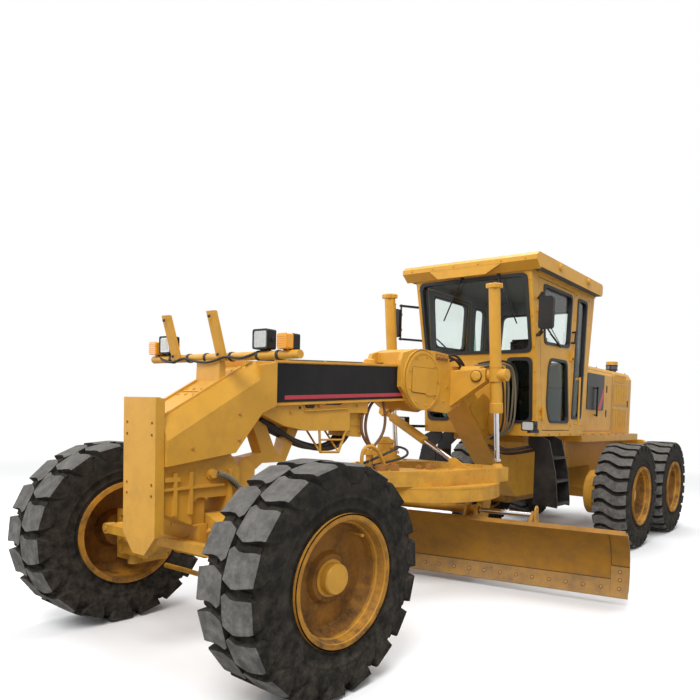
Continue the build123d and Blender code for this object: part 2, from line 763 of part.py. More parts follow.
with BuildPart() as lift_saddle:
    for sign in (-1, 1):
        with BuildSketch(at_x(sign * (BEAM_HALF_W + SEAT_GAP))):
            Polygon(
                (Y(1790), 2030),
                (Y(1816), 2096),
                (Y(1987), 2146),
                (Y(2300), SADDLE_TOP),
                (Y(2505), 2146),
                (Y(2534), 2076),
                (Y(2614), 2000),
                (Y(2795), 1970),
                (Y(2860), 2020),
                (Y(2950), 2010),
                (Y(2990), 1910),
                (Y(2900), 1790),
                (Y(2735), 1669),
                (Y(2514), 1589),
                (Y(2300), 1600),
                (Y(2100), 1640),
                (Y(1900), 1700),
                (Y(1790), 1800),
                align=None,
            )
        extrude(amount=sign * (SADDLE_T - 15))
        with BuildSketch(at_x(sign * (BEAM_HALF_W + SEAT_GAP))):
            with Locations((Y(2090), 1880)):
                Circle(275)
        extrude(amount=sign * SADDLE_T)
        # Arm that narrows outwards to the trunnion of the lift cylinder
        with BuildSketch(at_x(sign * (BEAM_HALF_W + SADDLE_T - 20))):
            Polygon(
                (Y(2560), 1650),
                (Y(2560), 1990),
                (Y(2640), 2010),
                (Y(2960), 2010),
                (Y(2960), 1860),
                (Y(2760), 1690),
                align=None,
            )
        with BuildSketch(at_x(sign * ARM_END_X)):
            Polygon(
                (Y(TRUNNION_S - 62), TRUNNION_Z - 62),
                (Y(TRUNNION_S - 62), TRUNNION_Z + 50),
                (Y(TRUNNION_S - 50), TRUNNION_Z + 62),
                (Y(TRUNNION_S + 62), TRUNNION_Z + 62),
                (Y(TRUNNION_S + 62), TRUNNION_Z - 40),
                (Y(TRUNNION_S + 40), TRUNNION_Z - 62),
                align=None,
            )
        loft()
        # Boss of the pin on which the arm is locked
        with BuildSketch(at_x(sign * (BEAM_HALF_W + SADDLE_T))):
            with Locations((Y(2760), 1990)):
                Circle(66)
        extrude(amount=sign * 215)
        with BuildSketch(at_x(sign * ARM_END_X)):
            with Locations((Y(TRUNNION_S), TRUNNION_Z)):
                Circle(TRUNNION_R + RUNNING_GAP)
        extrude(amount=-sign * 80, mode=Mode.SUBTRACT)
    # Cap over the beam that joins both cheeks
    with BuildSketch(at_x(-BEAM_HALF_W - SADDLE_T + 15)):
        Polygon(
            (Y(1880), beam_bottom(1880) + BEAM_H + SEAT_GAP),
            (Y(2500), beam_bottom(2500) + BEAM_H + SEAT_GAP),
            (Y(2490), 2146),
            (Y(2300), SADDLE_TOP),
            (Y(1987), 2146),
            (Y(1880), 2110),
            align=None,
        )
    extrude(amount=2 * BEAM_HALF_W + 2 * SADDLE_T - 30)
    # Bracket for the tail of the centre-shift cylinder, with its pin
    for inner in (SHIFT_EYE_HALF + 6, -SHIFT_EYE_HALF - 26):
        with BuildSketch(at_y(Y(SHIFT_S + inner))):
            Polygon(
                (-BEAM_HALF_W - 50, 1760),
                (-BEAM_HALF_W - 50, 1880),
                (SHIFT_TAIL[0] - 35, SHIFT_TAIL[1] + 45),
                (SHIFT_TAIL[0] - 45, SHIFT_TAIL[1] - 10),
                (SHIFT_TAIL[0], SHIFT_TAIL[1] - 42),
                (SHIFT_TAIL[0] + 33, SHIFT_TAIL[1] - 10),
                align=None,
            )
        extrude(amount=-20)
    with BuildSketch(at_y(Y(SHIFT_S - SHIFT_EYE_HALF - 20))):
        with Locations(SHIFT_TAIL):
            Circle(SHIFT_PIN_R)
    extrude(amount=-2 * SHIFT_EYE_HALF - 40)
save(lift_saddle.part, "lift_saddle")

BARREL_R = 55
BARREL_BORE_R = 45
ROD_R = 25
BARREL_FOOT = 538
GLAND_LONG = 60
CAP_R = 62
ROD_FOOT = CAP_R + 14
ROD_HEAD = 1227
YOKE_X = (552, 745)
YOKE_R = 58
with BuildPart() as lift_barrels:
    for sign in (-1, 1):
        with BuildSketch(lift_plane(sign * TRUNNION_X, BARREL_FOOT)):
            Circle(BARREL_R)
        extrude(amount=LIFT_LONG - BARREL_FOOT)
        with BuildSketch(lift_plane(sign * TRUNNION_X, BARREL_FOOT)):
            Circle(BARREL_R + 9)
        extrude(amount=GLAND_LONG + 20)
        with BuildSketch(lift_plane(sign * TRUNNION_X, LIFT_TRUNNION - 60)):
            Circle(BARREL_R + 13)
        extrude(amount=120)
        with BuildSketch(at_x(sign * (ARM_END_X - 75))):
            with Locations((Y(TRUNNION_S), TRUNNION_Z)):
                Circle(TRUNNION_R)
        extrude(amount=sign * (TRUNNION_X - ARM_END_X + 75 - BARREL_BORE_R - 6))
        with BuildSketch(at_x(sign * YOKE_X[0])):
            with Locations((Y(TRUNNION_S), TRUNNION_Z)):
                Circle(YOKE_R)
        extrude(amount=sign * (YOKE_X[1] - YOKE_X[0]))
        with BuildSketch(lift_plane(sign * TRUNNION_X, BARREL_FOOT + GLAND_LONG)):
            Circle(BARREL_BORE_R)
        extrude(amount=LIFT_LONG - BARREL_FOOT - GLAND_LONG - 25, mode=Mode.SUBTRACT)
        with BuildSketch(lift_plane(sign * TRUNNION_X, BARREL_FOOT)):
            Circle(ROD_R + RUNNING_GAP)
        extrude(amount=GLAND_LONG, mode=Mode.SUBTRACT)
save(lift_barrels.part, "lift_barrels")

with BuildPart() as lift_rods:
    for sign in (-1, 1):
        with BuildSketch(lift_plane(sign * TRUNNION_X, ROD_FOOT)):
            Circle(ROD_R)
        extrude(amount=ROD_HEAD - ROD_FOOT)
        with BuildSketch(lift_plane(sign * TRUNNION_X, ROD_FOOT)):
            Circle(ROD_R + 13)
        extrude(amount=24)
save(lift_rods.part, "lift_rods")

SHIFT_LONG = ((SHIFT_BALL[0] - SHIFT_TAIL[0]) ** 2 + (SHIFT_BALL[1] - SHIFT_TAIL[1]) ** 2) ** 0.5
SHIFT_BARREL_END = 560
SHIFT_BORE_R = 35
SHIFT_ROD_R = 22


def shift_plane(along):
    """Plane square to the centre-shift cylinder, `along` millimetres from its tail pin."""
    return Plane(
        origin=(SHIFT_TAIL[0], Y(SHIFT_S), SHIFT_TAIL[1]),
        x_dir=(0, 1, 0),
        z_dir=(SHIFT_BALL[0] - SHIFT_TAIL[0], 0, SHIFT_BALL[1] - SHIFT_TAIL[1]),
    ).offset(along)


with BuildPart() as centre_shift_barrel:
    with BuildSketch(at_y(Y(SHIFT_S - SHIFT_EYE_HALF))):
        with Locations(SHIFT_TAIL):
            Circle(SHIFT_PIN_R + 20)
    extrude(amount=-2 * SHIFT_EYE_HALF)
    with BuildSketch(shift_plane(30)):
        Circle(SHIFT_EYE_HALF)
    extrude(amount=75)
    with BuildSketch(shift_plane(100)):
        Circle(SHIFT_BORE_R + 9)
    extrude(amount=SHIFT_BARREL_END - 100)
    with BuildSketch(shift_plane(114)):
        Circle(SHIFT_BORE_R)
    extrude(amount=SHIFT_BARREL_END - 114 - 45, mode=Mode.SUBTRACT)
    with BuildSketch(shift_plane(SHIFT_BARREL_END - 45)):
        Circle(SHIFT_ROD_R + RUNNING_GAP)
    extrude(amount=45, mode=Mode.SUBTRACT)
    with BuildSketch(at_y(Y(SHIFT_S - SHIFT_EYE_HALF))):
        with Locations(SHIFT_TAIL):
            Circle(SHIFT_PIN_R + RUNNING_GAP)
    extrude(amount=-2 * SHIFT_EYE_HALF, mode=Mode.SUBTRACT)
save(centre_shift_barrel.part, "centre_shift_barrel")

with BuildPart() as centre_shift_rod:
    with BuildSketch(shift_plane(290)):
        Circle(SHIFT_ROD_R)
    extrude(amount=SHIFT_LONG - 290 - 20)
    with BuildSketch(at_y(Y(SHIFT_S - SHIFT_EYE_HALF))):
        with Locations(SHIFT_BALL):
            Circle(38)
    extrude(amount=-2 * SHIFT_EYE_HALF)
    with BuildSketch(at_y(Y(SHIFT_S - SHIFT_EYE_HALF))):
        with Locations(SHIFT_BALL):
            Circle(SHIFT_PIN_R)
    extrude(amount=-2 * SHIFT_EYE_HALF, mode=Mode.SUBTRACT)
save(centre_shift_rod.part, "centre_shift_rod")

# Drawbar: an A-shaped frame from the ball at the nose to the circle
DRAWBAR_HIGH = 1085
CIRCLE_R = 765
CIRCLE_IN_R = 600
CIRCLE_TOP = 955
CIRCLE_LOW = 820
DRAWBAR_LOW = CIRCLE_TOP + SEAT_GAP
DRAWBAR_HOLE_R = 430
with BuildPart() as drawbar:
    with BuildSketch(at_z(DRAWBAR_LOW)):
        Polygon(
            (75, Y(460)),
            (160, Y(1300)),
            (560, Y(2000)),
            (640, Y(2450)),
            (700, Y(2640)),
            (700, Y(2860)),
            (560, Y(2950)),
            (-560, Y(2950)),
            (-700, Y(2860)),
            (-700, Y(2640)),
            (-640, Y(2450)),
            (-560, Y(2000)),
            (-160, Y(1300)),
            (-75, Y(460)),
            align=None,
        )
        with Locations((0, Y(CIRCLE_S))):
            Circle(DRAWBAR_HOLE_R, mode=Mode.SUBTRACT)
    extrude(amount=DRAWBAR_HIGH - DRAWBAR_LOW)
    # Neck and ball
    with BuildSketch(at_x(0)):
        Polygon(
            (Y(BALL_S), BALL_Z + 32),
            (Y(BALL_S + 240), DRAWBAR_HIGH),
            (Y(BALL_S + 240), DRAWBAR_LOW),
            (Y(BALL_S + 155), DRAWBAR_LOW),
            (Y(BALL_S + 55), BALL_Z - 34),
            (Y(BALL_S), BALL_Z - 32),
            align=None,
        )
    extrude(amount=32, both=True)
    with Locations((0, Y(BALL_S), BALL_Z)):
        Sphere(BALL_R)
    # Domed caps over the lift cylinders' feet
    for sign in (-1, 1):
        with Locations((sign * TRUNNION_X, Y(LIFT_BALL_S), LIFT_BALL_Z)):
            Sphere(CAP_R)
    # Lug for the centre-shift rod
    with BuildSketch(at_y(Y(SHIFT_S - SHIFT_EYE_HALF - 25))):
        Polygon(
            (SHIFT_BALL[0] - 30, SHIFT_BALL[1] + 30),
            (SHIFT_BALL[0] + 30, SHIFT_BALL[1] + 38),
            (600, DRAWBAR_HIGH - 10),
            (450, DRAWBAR_HIGH - 10),
            (SHIFT_BALL[0] - 30, SHIFT_BALL[1] - 25),
            align=None,
        )
    extrude(amount=-20)
    # Gearbox that turns the circle
    with BuildSketch(at_z(DRAWBAR_HIGH - 10)):
        with Locations((0, Y(1840))):
            Circle(105)
    extrude(amount=160)
    with BuildSketch(at_z(DRAWBAR_HIGH + 140)):
        with Locations((0, Y(1840))):
            Circle(70)
    extrude(amount=110)
save(drawbar.part, "drawbar")

# Circle: the toothed ring under the drawbar with the two legs that carry the blade
BLADE_YAW = 9.5
BLADE_HALF = 1981
BLADE_LOW = 70
BLADE_CHORD = 587
BLADE_LEAN = 16.5
BLADE_R = 413
BLADE_T = 22
EDGE_T = 16
TIP_U = 200
TIP_Z = 235
TIP_PIN_R = 25
LEG_X = 520
LEG_HALF = 30


def at_circle(plane):
    """The same plane seen from the circle, turned with it to the blade's resting angle."""
    return Plane(Location((0, Y(CIRCLE_S), 0), (0, 0, BLADE_YAW)) * plane.location)


def on_blade(radius, degrees):
    """Point (behind the circle's axis, height) at a radius and angle of the blade's curve."""
    up = (-sin(radians(BLADE_LEAN)), cos(radians(BLADE_LEAN)))
    back = (cos(radians(BLADE_LEAN)), sin(radians(BLADE_LEAN)))
    half = BLADE_CHORD / 2
    sag = (BLADE_R**2 - half**2) ** 0.5
    a = radius * sin(radians(degrees)) + half
    b = radius * cos(radians(degrees)) - sag
    return (up[0] * a + back[0] * b, BLADE_LOW + up[1] * a + back[1] * b)


def blade_strip(inner, outer, low, high):
    """Face between two radii and two angles of the blade's curve."""
    middle = (low + high) / 2
    return make_face(
        [
            ThreePointArc(on_blade(inner, low), on_blade(inner, middle), on_blade(inner, high)),
            Line(on_blade(inner, high), on_blade(outer, high)),
            ThreePointArc(on_blade(outer, high), on_blade(outer, middle), on_blade(outer, low)),
            Line(on_blade(outer, low), on_blade(inner, low)),
        ]
    )


# Faces are made before the blocks that place them
BLADE_FACE = blade_strip(BLADE_R, BLADE_R + BLADE_T, -37.7, 45.3)

with BuildPart() as circle:
    with BuildSketch(at_z(CIRCLE_LOW)):
        with Locations((0, Y(CIRCLE_S))):
            Circle(CIRCLE_R)
            Circle(CIRCLE_IN_R, mode=Mode.SUBTRACT)
    extrude(amount=CIRCLE_TOP - CIRCLE_LOW)
    # Legs down to the tip pivot behind the blade
    for sign in (-1, 1):
        with BuildSketch(at_circle(Plane.YZ.offset(sign * LEG_X - LEG_HALF))):
            Polygon(
                (330, CIRCLE_LOW + 30),
                (530, CIRCLE_LOW + 30),
                (535, CIRCLE_LOW - 20),
                (TIP_U + 65, TIP_Z - 15),
                (TIP_U, TIP_Z - 70),
                (TIP_U - 65, TIP_Z - 10),
                (TIP_U, 520),
                (300, 760),
                align=None,
            )
        extrude(amount=2 * LEG_HALF)
        with BuildSketch(at_circle(Plane.YZ.offset(sign * LEG_X - LEG_HALF))):
            with Locations((TIP_U, TIP_Z)):
                Circle(TIP_PIN_R + RUNNING_GAP)
        extrude(amount=2 * LEG_HALF, mode=Mode.SUBTRACT)
save(circle.part, "circle")

# Tilt brackets: hinged on the legs, with the faces on which the blade slides sideways
RAIL_R = BLADE_R + BLADE_T + 36
RAIL_ANGLES = ((-30, -22), (16, 24))
RAIL_FACES = [blade_strip(BLADE_R + BLADE_T - 2, RAIL_R, low, high) for low, high in RAIL_ANGLES]
BRACKET_OFF = 50
BRACKET_T = 24
SIDE_ROD = (100, 690)
SIDE_BARREL_R = 40
SIDE_ROD_R = 24
SIDE_BARREL_X = (-700, 545)
with BuildPart() as tilt_brackets:
    for sign in (-1, 1):
        for side in (-1, 1):
            with BuildSketch(at_circle(Plane.YZ.offset(sign * LEG_X + side * BRACKET_OFF - BRACKET_T / 2))):
                Polygon(
                    *[on_blade(RAIL_R + 8, angle) for angle in (28, 14, 0, -16, -34)],
                    (TIP_U - 40, TIP_Z - 80),
                    (TIP_U + 40, TIP_Z - 40),
                    (TIP_U + 55, TIP_Z + 20),
                    (SIDE_ROD[0] + 65, SIDE_ROD[1] + 30),
                    (SIDE_ROD[0], SIDE_ROD[1] + 62),
                    (SIDE_ROD[0] - 50, SIDE_ROD[1] + 40),
                    align=None,
                )
                with Locations(SIDE_ROD):
                    Circle(SIDE_BARREL_R + SEAT_GAP, mode=Mode.SUBTRACT)
            extrude(amount=BRACKET_T)
        with BuildSketch(at_circle(Plane.YZ.offset(sign * LEG_X - BRACKET_OFF))):
            with Locations((TIP_U, TIP_Z)):
                Circle(TIP_PIN_R)
        extrude(amount=2 * BRACKET_OFF)
save(tilt_brackets.part, "tilt_brackets")

with BuildPart() as side_shift_barrel:
    with BuildSketch(at_circle(Plane.YZ.offset(SIDE_BARREL_X[0]))):
        with Locations(SIDE_ROD):
            Circle(SIDE_BARREL_R)
    extrude(amount=SIDE_BARREL_X[1] - SIDE_BARREL_X[0])
    with BuildSketch(at_circle(Plane.YZ.offset(SIDE_BARREL_X[0] + 20))):
        with Locations(SIDE_ROD):
            Circle(SIDE_BARREL_R - 8)
    extrude(amount=SIDE_BARREL_X[1] - SIDE_BARREL_X[0] - 50, mode=Mode.SUBTRACT)
    with BuildSketch(at_circle(Plane.YZ.offset(SIDE_BARREL_X[1] - 30))):
        with Locations(SIDE_ROD):
            Circle(SIDE_ROD_R + RUNNING_GAP)
    extrude(amount=30, mode=Mode.SUBTRACT)
save(side_shift_barrel.part, "side_shift_barrel")

# Blade: a curved mouldboard with its back rails and the side-shift rod's bracket
LUG_X = 1100
LUG_T = 30
with BuildPart() as moldboard:
    with BuildSketch(at_circle(Plane.YZ.offset(-BLADE_HALF))):
        add(BLADE_FACE)
    extrude(amount=2 * BLADE_HALF)
    for rail_face in RAIL_FACES:
        with BuildSketch(at_circle(Plane.YZ.offset(-BLADE_HALF + 120))):
            add(rail_face)
        extrude(amount=2 * BLADE_HALF - 240)
    with BuildSketch(at_circle(Plane.YZ.offset(LUG_X))):
        Polygon(
            on_blade(BLADE_R + 10, 34),
            on_blade(BLADE_R + 10, 16),
            on_blade(RAIL_R, 12),
            (SIDE_ROD[0] + 40, SIDE_ROD[1] - 30),
            (SIDE_ROD[0] + 40, SIDE_ROD[1] + 25),
            (SIDE_ROD[0] - 30, SIDE_ROD[1] + 40),
            align=None,
        )
    extrude(amount=LUG_T)
    with BuildSketch(at_circle(Plane.YZ.offset(LUG_X))):
        with Locations(SIDE_ROD):
            Circle(SIDE_ROD_R + SEAT_GAP)
    extrude(amount=LUG_T, mode=Mode.SUBTRACT)
save(moldboard.part, "moldboard")

with BuildPart() as side_shift_rod:
    with BuildSketch(at_circle(Plane.YZ.offset(-150))):
        with Locations(SIDE_ROD):
            Circle(SIDE_ROD_R)
    extrude(amount=LUG_X + LUG_T + 12 + 150)
save(side_shift_rod.part, "side_shift_rod")

# Cutting edges and the taller bits at both ends, on the front of the blade
BIT_W = 152
EDGE_SEAM = BLADE_HALF - 1829
EDGES = (
    # from, to, top angle
    (-BLADE_HALF, -BLADE_HALF + BIT_W, -8),
    (-BLADE_HALF + BIT_W + 1, EDGE_SEAM - 1, -24.2),
    (EDGE_SEAM, BLADE_HALF - BIT_W - 1, -24.2),
    (BLADE_HALF - BIT_W, BLADE_HALF, -8),
)
EDGE_FACES = [blade_strip(BLADE_R - SEAT_GAP - EDGE_T, BLADE_R - SEAT_GAP, -45.3, row[2]) for row in EDGES]
with BuildPart() as cutting_edge:
    for (start, end, top), edge_face in zip(EDGES, EDGE_FACES):
        with BuildSketch(at_circle(Plane.YZ.offset(start))):
            add(edge_face)
        extrude(amount=end - start)
save(cutting_edge.part, "cutting_edge")

# Steering cylinders: barrels on the axle, rods out to the knuckles' arms
STEER_S = 160
STEER_Z = 562
STEER_BARREL_R = 38
STEER_ROD_R = 20
STEER_BARREL_X = (190, 520)
with BuildPart() as steering_barrels:
    for sign in (-1, 1):
        with BuildSketch(at_x(sign * STEER_BARREL_X[0])):
            with Locations((Y(STEER_S), STEER_Z)):
                Circle(STEER_BARREL_R)
        extrude(amount=sign * (STEER_BARREL_X[1] - STEER_BARREL_X[0]))
        # Foot on the back of the axle beam
        with BuildSketch(at_y(Y(STEER_S - 10))):
            with Locations((sign * (STEER_BARREL_X[0] + 130), STEER_Z + 60)):
                Rectangle(70, 110)
        extrude(amount=STEER_S - 10 - BEAM_HALF_T - SEAT_GAP)
        with BuildSketch(at_x(sign * (STEER_BARREL_X[0] + 15))):
            with Locations((Y(STEER_S), STEER_Z)):
                Circle(STEER_BARREL_R - 8)
        extrude(amount=sign * (STEER_BARREL_X[1] - STEER_BARREL_X[0] - 45), mode=Mode.SUBTRACT)
        with BuildSketch(at_x(sign * (STEER_BARREL_X[1] - 30))):
            with Locations((Y(STEER_S), STEER_Z)):
                Circle(STEER_ROD_R + RUNNING_GAP)
        extrude(amount=sign * 30, mode=Mode.SUBTRACT)
save(steering_barrels.part, "steering_barrels")

with BuildPart() as steering_rod:
    with BuildSketch(at_x(345)):
        with Locations((Y(STEER_S), STEER_Z)):
            Circle(STEER_ROD_R)
    extrude(amount=PIVOT_X - 345 - 25)
    with BuildSketch(at_z(STEER_Z - 18)):
        with Locations((PIVOT_X, Y(STEER_S))):
            Circle(34)
            Circle(14, mode=Mode.SUBTRACT)
    extrude(amount=36)
save(steering_rod.part, "steering_rod_left")
save(other_side(steering_rod.part), "steering_rod_right")

# Cab on the gooseneck: a hollow shell whose walls are cut for the windows and doors
CAB_WALL = 50
ROOF_TOP = 3188
CAB_TOP = ROOF_TOP - 139
CAB_SHARE = (CAB_TOP - FLOOR_Z) / 1669


def cab_z(height):
    """Height of a point on the cab, which keeps its share of the cab's own height."""
    return FLOOR_Z + CAB_SHARE * (height - FLOOR_Z)


def cab_outline(points):
    return tuple((station, cab_z(height)) for station, height in points)


CAB_OUTER = (
    (3168, CAB_TOP),
    (3360, cab_z(2170)),
    (3420, FLOOR_Z),
    (4660, FLOOR_Z),
    (4880, CAB_TOP),
)
CAB_INNER = (
    (3222, CAB_TOP),
    (3412, cab_z(2170)),
    (3470, FLOOR_Z + CAB_WALL),
    (4612, FLOOR_Z + CAB_WALL),
    (4826, CAB_TOP),
)
DOOR_OPENING = cab_outline(((3330, 3000), (3545, 1440), (4272, 1440), (4268, 3000)))
REAR_SIDE_WINDOW = cab_outline(((4379, 2950), (4312, 1580), (4583, 1580), (4648, 2950)))
DOOR_GAP = 7
DOOR_T = 50


def stations(points):
    return [(Y(station), height) for station, height in points]


def inset(points, amount):
    """Convex outline moved inwards by an amount, as (station, height) corners."""
    middle_s = sum(p[0] for p in points) / len(points)
    middle_z = sum(p[1] for p in points) / len(points)
    lines = []
    for (s0, z0), (s1, z1) in zip(points, points[1:] + points[:1]):
        long = ((s1 - s0) ** 2 + (z1 - z0) ** 2) ** 0.5
        ns, nz = -(z1 - z0) / long, (s1 - s0) / long
        if (middle_s - s0) * ns + (middle_z - z0) * nz < 0:
            ns, nz = -ns, -nz
        lines.append((ns, nz, ns * s0 + nz * z0 + amount))
    corners = []
    for (a0, b0, c0), (a1, b1, c1) in zip(lines[-1:] + lines[:-1], lines):
        det = a0 * b1 - a1 * b0
        corners.append(((c0 * b1 - c1 * b0) / det, (a0 * c1 - a1 * c0) / det))
    return tuple(corners)


HINGE_OUT = CAB_HALF_W + 16.5
HINGE_R = 16
HINGE_PIN_R = 8.9
HINGE_LONG = 60
HINGE_SHARES = (0.12, 0.76)


def hinge_plane(sign, share, along):
    """Plane square to the door's hinge line; its second coordinate points back along the door."""
    (top_s, top_z), (low_s, low_z) = DOOR_OPENING[0], DOOR_OPENING[1]
    return Plane(
        origin=(sign * HINGE_OUT, Y(low_s + share * (top_s - low_s)), low_z + share * (top_z - low_z)),
        x_dir=(1, 0, 0),
        z_dir=(0, top_s - low_s, top_z - low_z),
    ).offset(along)


FRONT_WINDOWS = (
    # middle x, middle height, width, height
    (0, cab_z(2626), 1310, CAB_SHARE * 758),
    (-512, cab_z(1852), 285, CAB_SHARE * 665),
    (512, cab_z(1852), 285, CAB_SHARE * 665),
)
REAR_WINDOW = (0, cab_z(2420), 1080, CAB_SHARE * 960)
with BuildPart() as cab_shell:
    with BuildSketch(at_x(0)):
        Polygon(*stations(CAB_OUTER), align=None)
    extrude(amount=CAB_HALF_W, both=True)
    with BuildSketch(at_x(0)):
        Polygon(*stations(CAB_INNER), align=None)
    extrude(amount=CAB_HALF_W - CAB_WALL, both=True, mode=Mode.SUBTRACT)
    for outline in (DOOR_OPENING, REAR_SIDE_WINDOW):
        with BuildSketch(at_x(0)):
            Polygon(*stations(outline), align=None)
        extrude(amount=CAB_HALF_W + 10, both=True, mode=Mode.SUBTRACT)
    for x, z, wide, high in FRONT_WINDOWS:
        with BuildSketch(at_y(Y(3150))):
            with Locations((x, z)):
                RectangleRounded(wide, high, 40)
        extrude(amount=-350, mode=Mode.SUBTRACT)
    with BuildSketch(at_y(Y(4550))):
        with Locations(REAR_WINDOW[:2]):
            RectangleRounded(REAR_WINDOW[2], REAR_WINDOW[3], 40)
    extrude(amount=-350, mode=Mode.SUBTRACT)
    # Bearers between the floor and the gooseneck
    for station in (3700, 4460):
        with BuildSketch(at_z(NECK_TOP + SEAT_GAP)):
            with Locations((0, Y(station))):
                Rectangle(900, 120)
        extrude(amount=FLOOR_Z - NECK_TOP - SEAT_GAP)
    # Hinge halves with their pins
    for sign in (-1, 1):
        for share in HINGE_SHARES:
            for along in (-HINGE_LONG / 2 - 36, HINGE_LONG / 2 + 1):
                with BuildSketch(hinge_plane(sign, share, along)):
                    Circle(HINGE_R)
                    with Locations((sign * -13, -35)):
                        Rectangle(10, 70)
                extrude(amount=35)
            with BuildSketch(hinge_plane(sign, share, -HINGE_LONG / 2 - 36)):
                Circle(HINGE_PIN_R)
            extrude(amount=HINGE_LONG + 72)
save(cab_shell.part, "cab_shell")

ROOF_HALF_W = 819
with BuildPart() as cab_roof:
    with BuildSketch(at_x(0)):
        Polygon(
            (Y(3060), ROOF_TOP - 83),
            (Y(3060), ROOF_TOP - 38),
            (Y(3110), ROOF_TOP),
            (Y(4820), ROOF_TOP),
            (Y(4853), ROOF_TOP - 23),
            (Y(4853), ROOF_TOP - 110),
            (Y(4830), CAB_TOP + SEAT_GAP),
            (Y(3160), CAB_TOP + SEAT_GAP),
            (Y(3150), CAB_TOP - 19),
            align=None,
        )
    extrude(amount=ROOF_HALF_W, both=True)
    # Visor that hangs lower between two slanting ends
    with BuildSketch(at_y(Y(3062))):
        Polygon(
            (-465, ROOF_TOP - 78),
            (-345, ROOF_TOP - 174),
            (241, ROOF_TOP - 174),
            (431, ROOF_TOP - 78),
            align=None,
        )
    extrude(amount=-26)
save(cab_roof.part, "cab_roof")

# Panes of the fixed windows: each slanted slab is kept inside its own window's outline
GLASS_T = 8
FRONT_GLASS = cab_outline(((3158, 3200), (3380, 2170), (3440, FLOOR_Z)))
REAR_GLASS = cab_outline(((4635, FLOOR_Z), (4900, 3200)))


def pane(opening, front, reach, line):
    """Pane along a slanting line of (station, height) points, within a window's outline."""
    x, z, wide, high = opening
    with BuildPart() as one:
        with BuildSketch(at_y(Y(front))):
            with Locations((x, z)):
                RectangleRounded(wide - 1, high - 1, 39.5)
        extrude(amount=-reach)
        with BuildSketch(at_x(0)):
            back = [(station + GLASS_T, height) for station, height in reversed(line)]
            Polygon(*stations([*line, *back]), align=None)
        extrude(amount=CAB_HALF_W, both=True, mode=Mode.INTERSECT)
    return one.part


PANES = [pane(opening, 3150, 350, FRONT_GLASS) for opening in FRONT_WINDOWS]
PANES.append(pane(REAR_WINDOW, 4550, 350, REAR_GLASS))
with BuildPart() as cab_glass:
    for piece in PANES:
        add(piece)
    for sign in (-1, 1):
        with BuildSketch(at_x(sign * (CAB_HALF_W - 25))):
            Polygon(*stations(inset(REAR_SIDE_WINDOW, 0.5)), align=None)
        extrude(amount=sign * GLASS_T)
save(cab_glass.part, "cab_glass")

# Doors: each hinged at its front edge, with an upper and a lower window
DOOR_OUTLINE = inset(DOOR_OPENING, DOOR_GAP)
DOOR_WINDOWS = (
    cab_outline(((3458, 2945), (3524, 2350), (4168, 2372), (4208, 2950))),
    cab_outline(((3686, 2205), (3640, 2110), (3626, 1700), (3712, 1530), (4218, 1530), (4122, 2212))),
)
with BuildPart() as door:
    with BuildSketch(at_x(CAB_HALF_W - DOOR_T)):
        Polygon(*stations(DOOR_OUTLINE), align=None)
        for outline in DOOR_WINDOWS:
            Polygon(*stations(outline), align=None, mode=Mode.SUBTRACT)
    extrude(amount=DOOR_T)
    # Relief at the top front corner, whose inner edge rises as the door swings
    with BuildSketch(at_x(CAB_HALF_W - DOOR_T)):
        with Locations((Y(DOOR_OPENING[0][0] + 40), DOOR_OPENING[0][1])):
            Rectangle(120, 30)
    extrude(amount=DOOR_T - 12, mode=Mode.SUBTRACT)
    # Latch and its handle on the rear edge
    with BuildSketch(at_x(CAB_HALF_W)):
        with Locations((Y(4228), cab_z(2285))):
            RectangleRounded(44, 120, 10)
    extrude(amount=28)
    for share in HINGE_SHARES:
        with BuildSketch(hinge_plane(1, share, -HINGE_LONG / 2)):
            Circle(HINGE_R)
            with Locations((-13, 35)):
                Rectangle(10, 70)
        extrude(amount=HINGE_LONG)
        with BuildSketch(hinge_plane(1, share, -HINGE_LONG / 2)):
            Circle(HINGE_PIN_R + RUNNING_GAP)
        extrude(amount=HINGE_LONG, mode=Mode.SUBTRACT)
save(door.part, "door_left")
save(other_side(door.part), "door_right")

with BuildPart() as door_glass:
    for outline in DOOR_WINDOWS:
        with BuildSketch(at_x(CAB_HALF_W - 30)):
            Polygon(*stations(inset(outline, SEAT_GAP)), align=None)
        extrude(amount=GLASS_T)
save(door_glass.part, "door_glass_left")
save(other_side(door_glass.part), "door_glass_right")

# Inside the cab: the seat on its box, and the steering column between the front windows
with BuildPart() as seat:
    with BuildSketch(at_z(FLOOR_Z + CAB_WALL + SEAT_GAP)):
        with Locations((0, Y(4230))):
            Rectangle(420, 420)
    extrude(amount=360)
    with BuildSketch(at_x(-250)):
        Polygon(
            (Y(3960), 1790),
            (Y(3960), 1880),
            (Y(4000), 1920),
            (Y(4400), 1890),
            (Y(4420), 1920),
            (Y(4500), cab_z(2560)),
            (Y(4590), cab_z(2560)),
            (Y(4500), 1790),
            align=None,
        )
    extrude(amount=500)
    for sign in (-1, 1):
        with BuildSketch(at_x(sign * 265)):
            with Locations((Y(4290), 2050)):
                RectangleRounded(330, 70, 20)
        extrude(amount=sign * 70)
        with BuildSketch(at_x(sign * 240)):
            with Locations((Y(4400), 1960)):
                Rectangle(60, 180)
        extrude(amount=sign * 60)
save(seat.part, "seat")

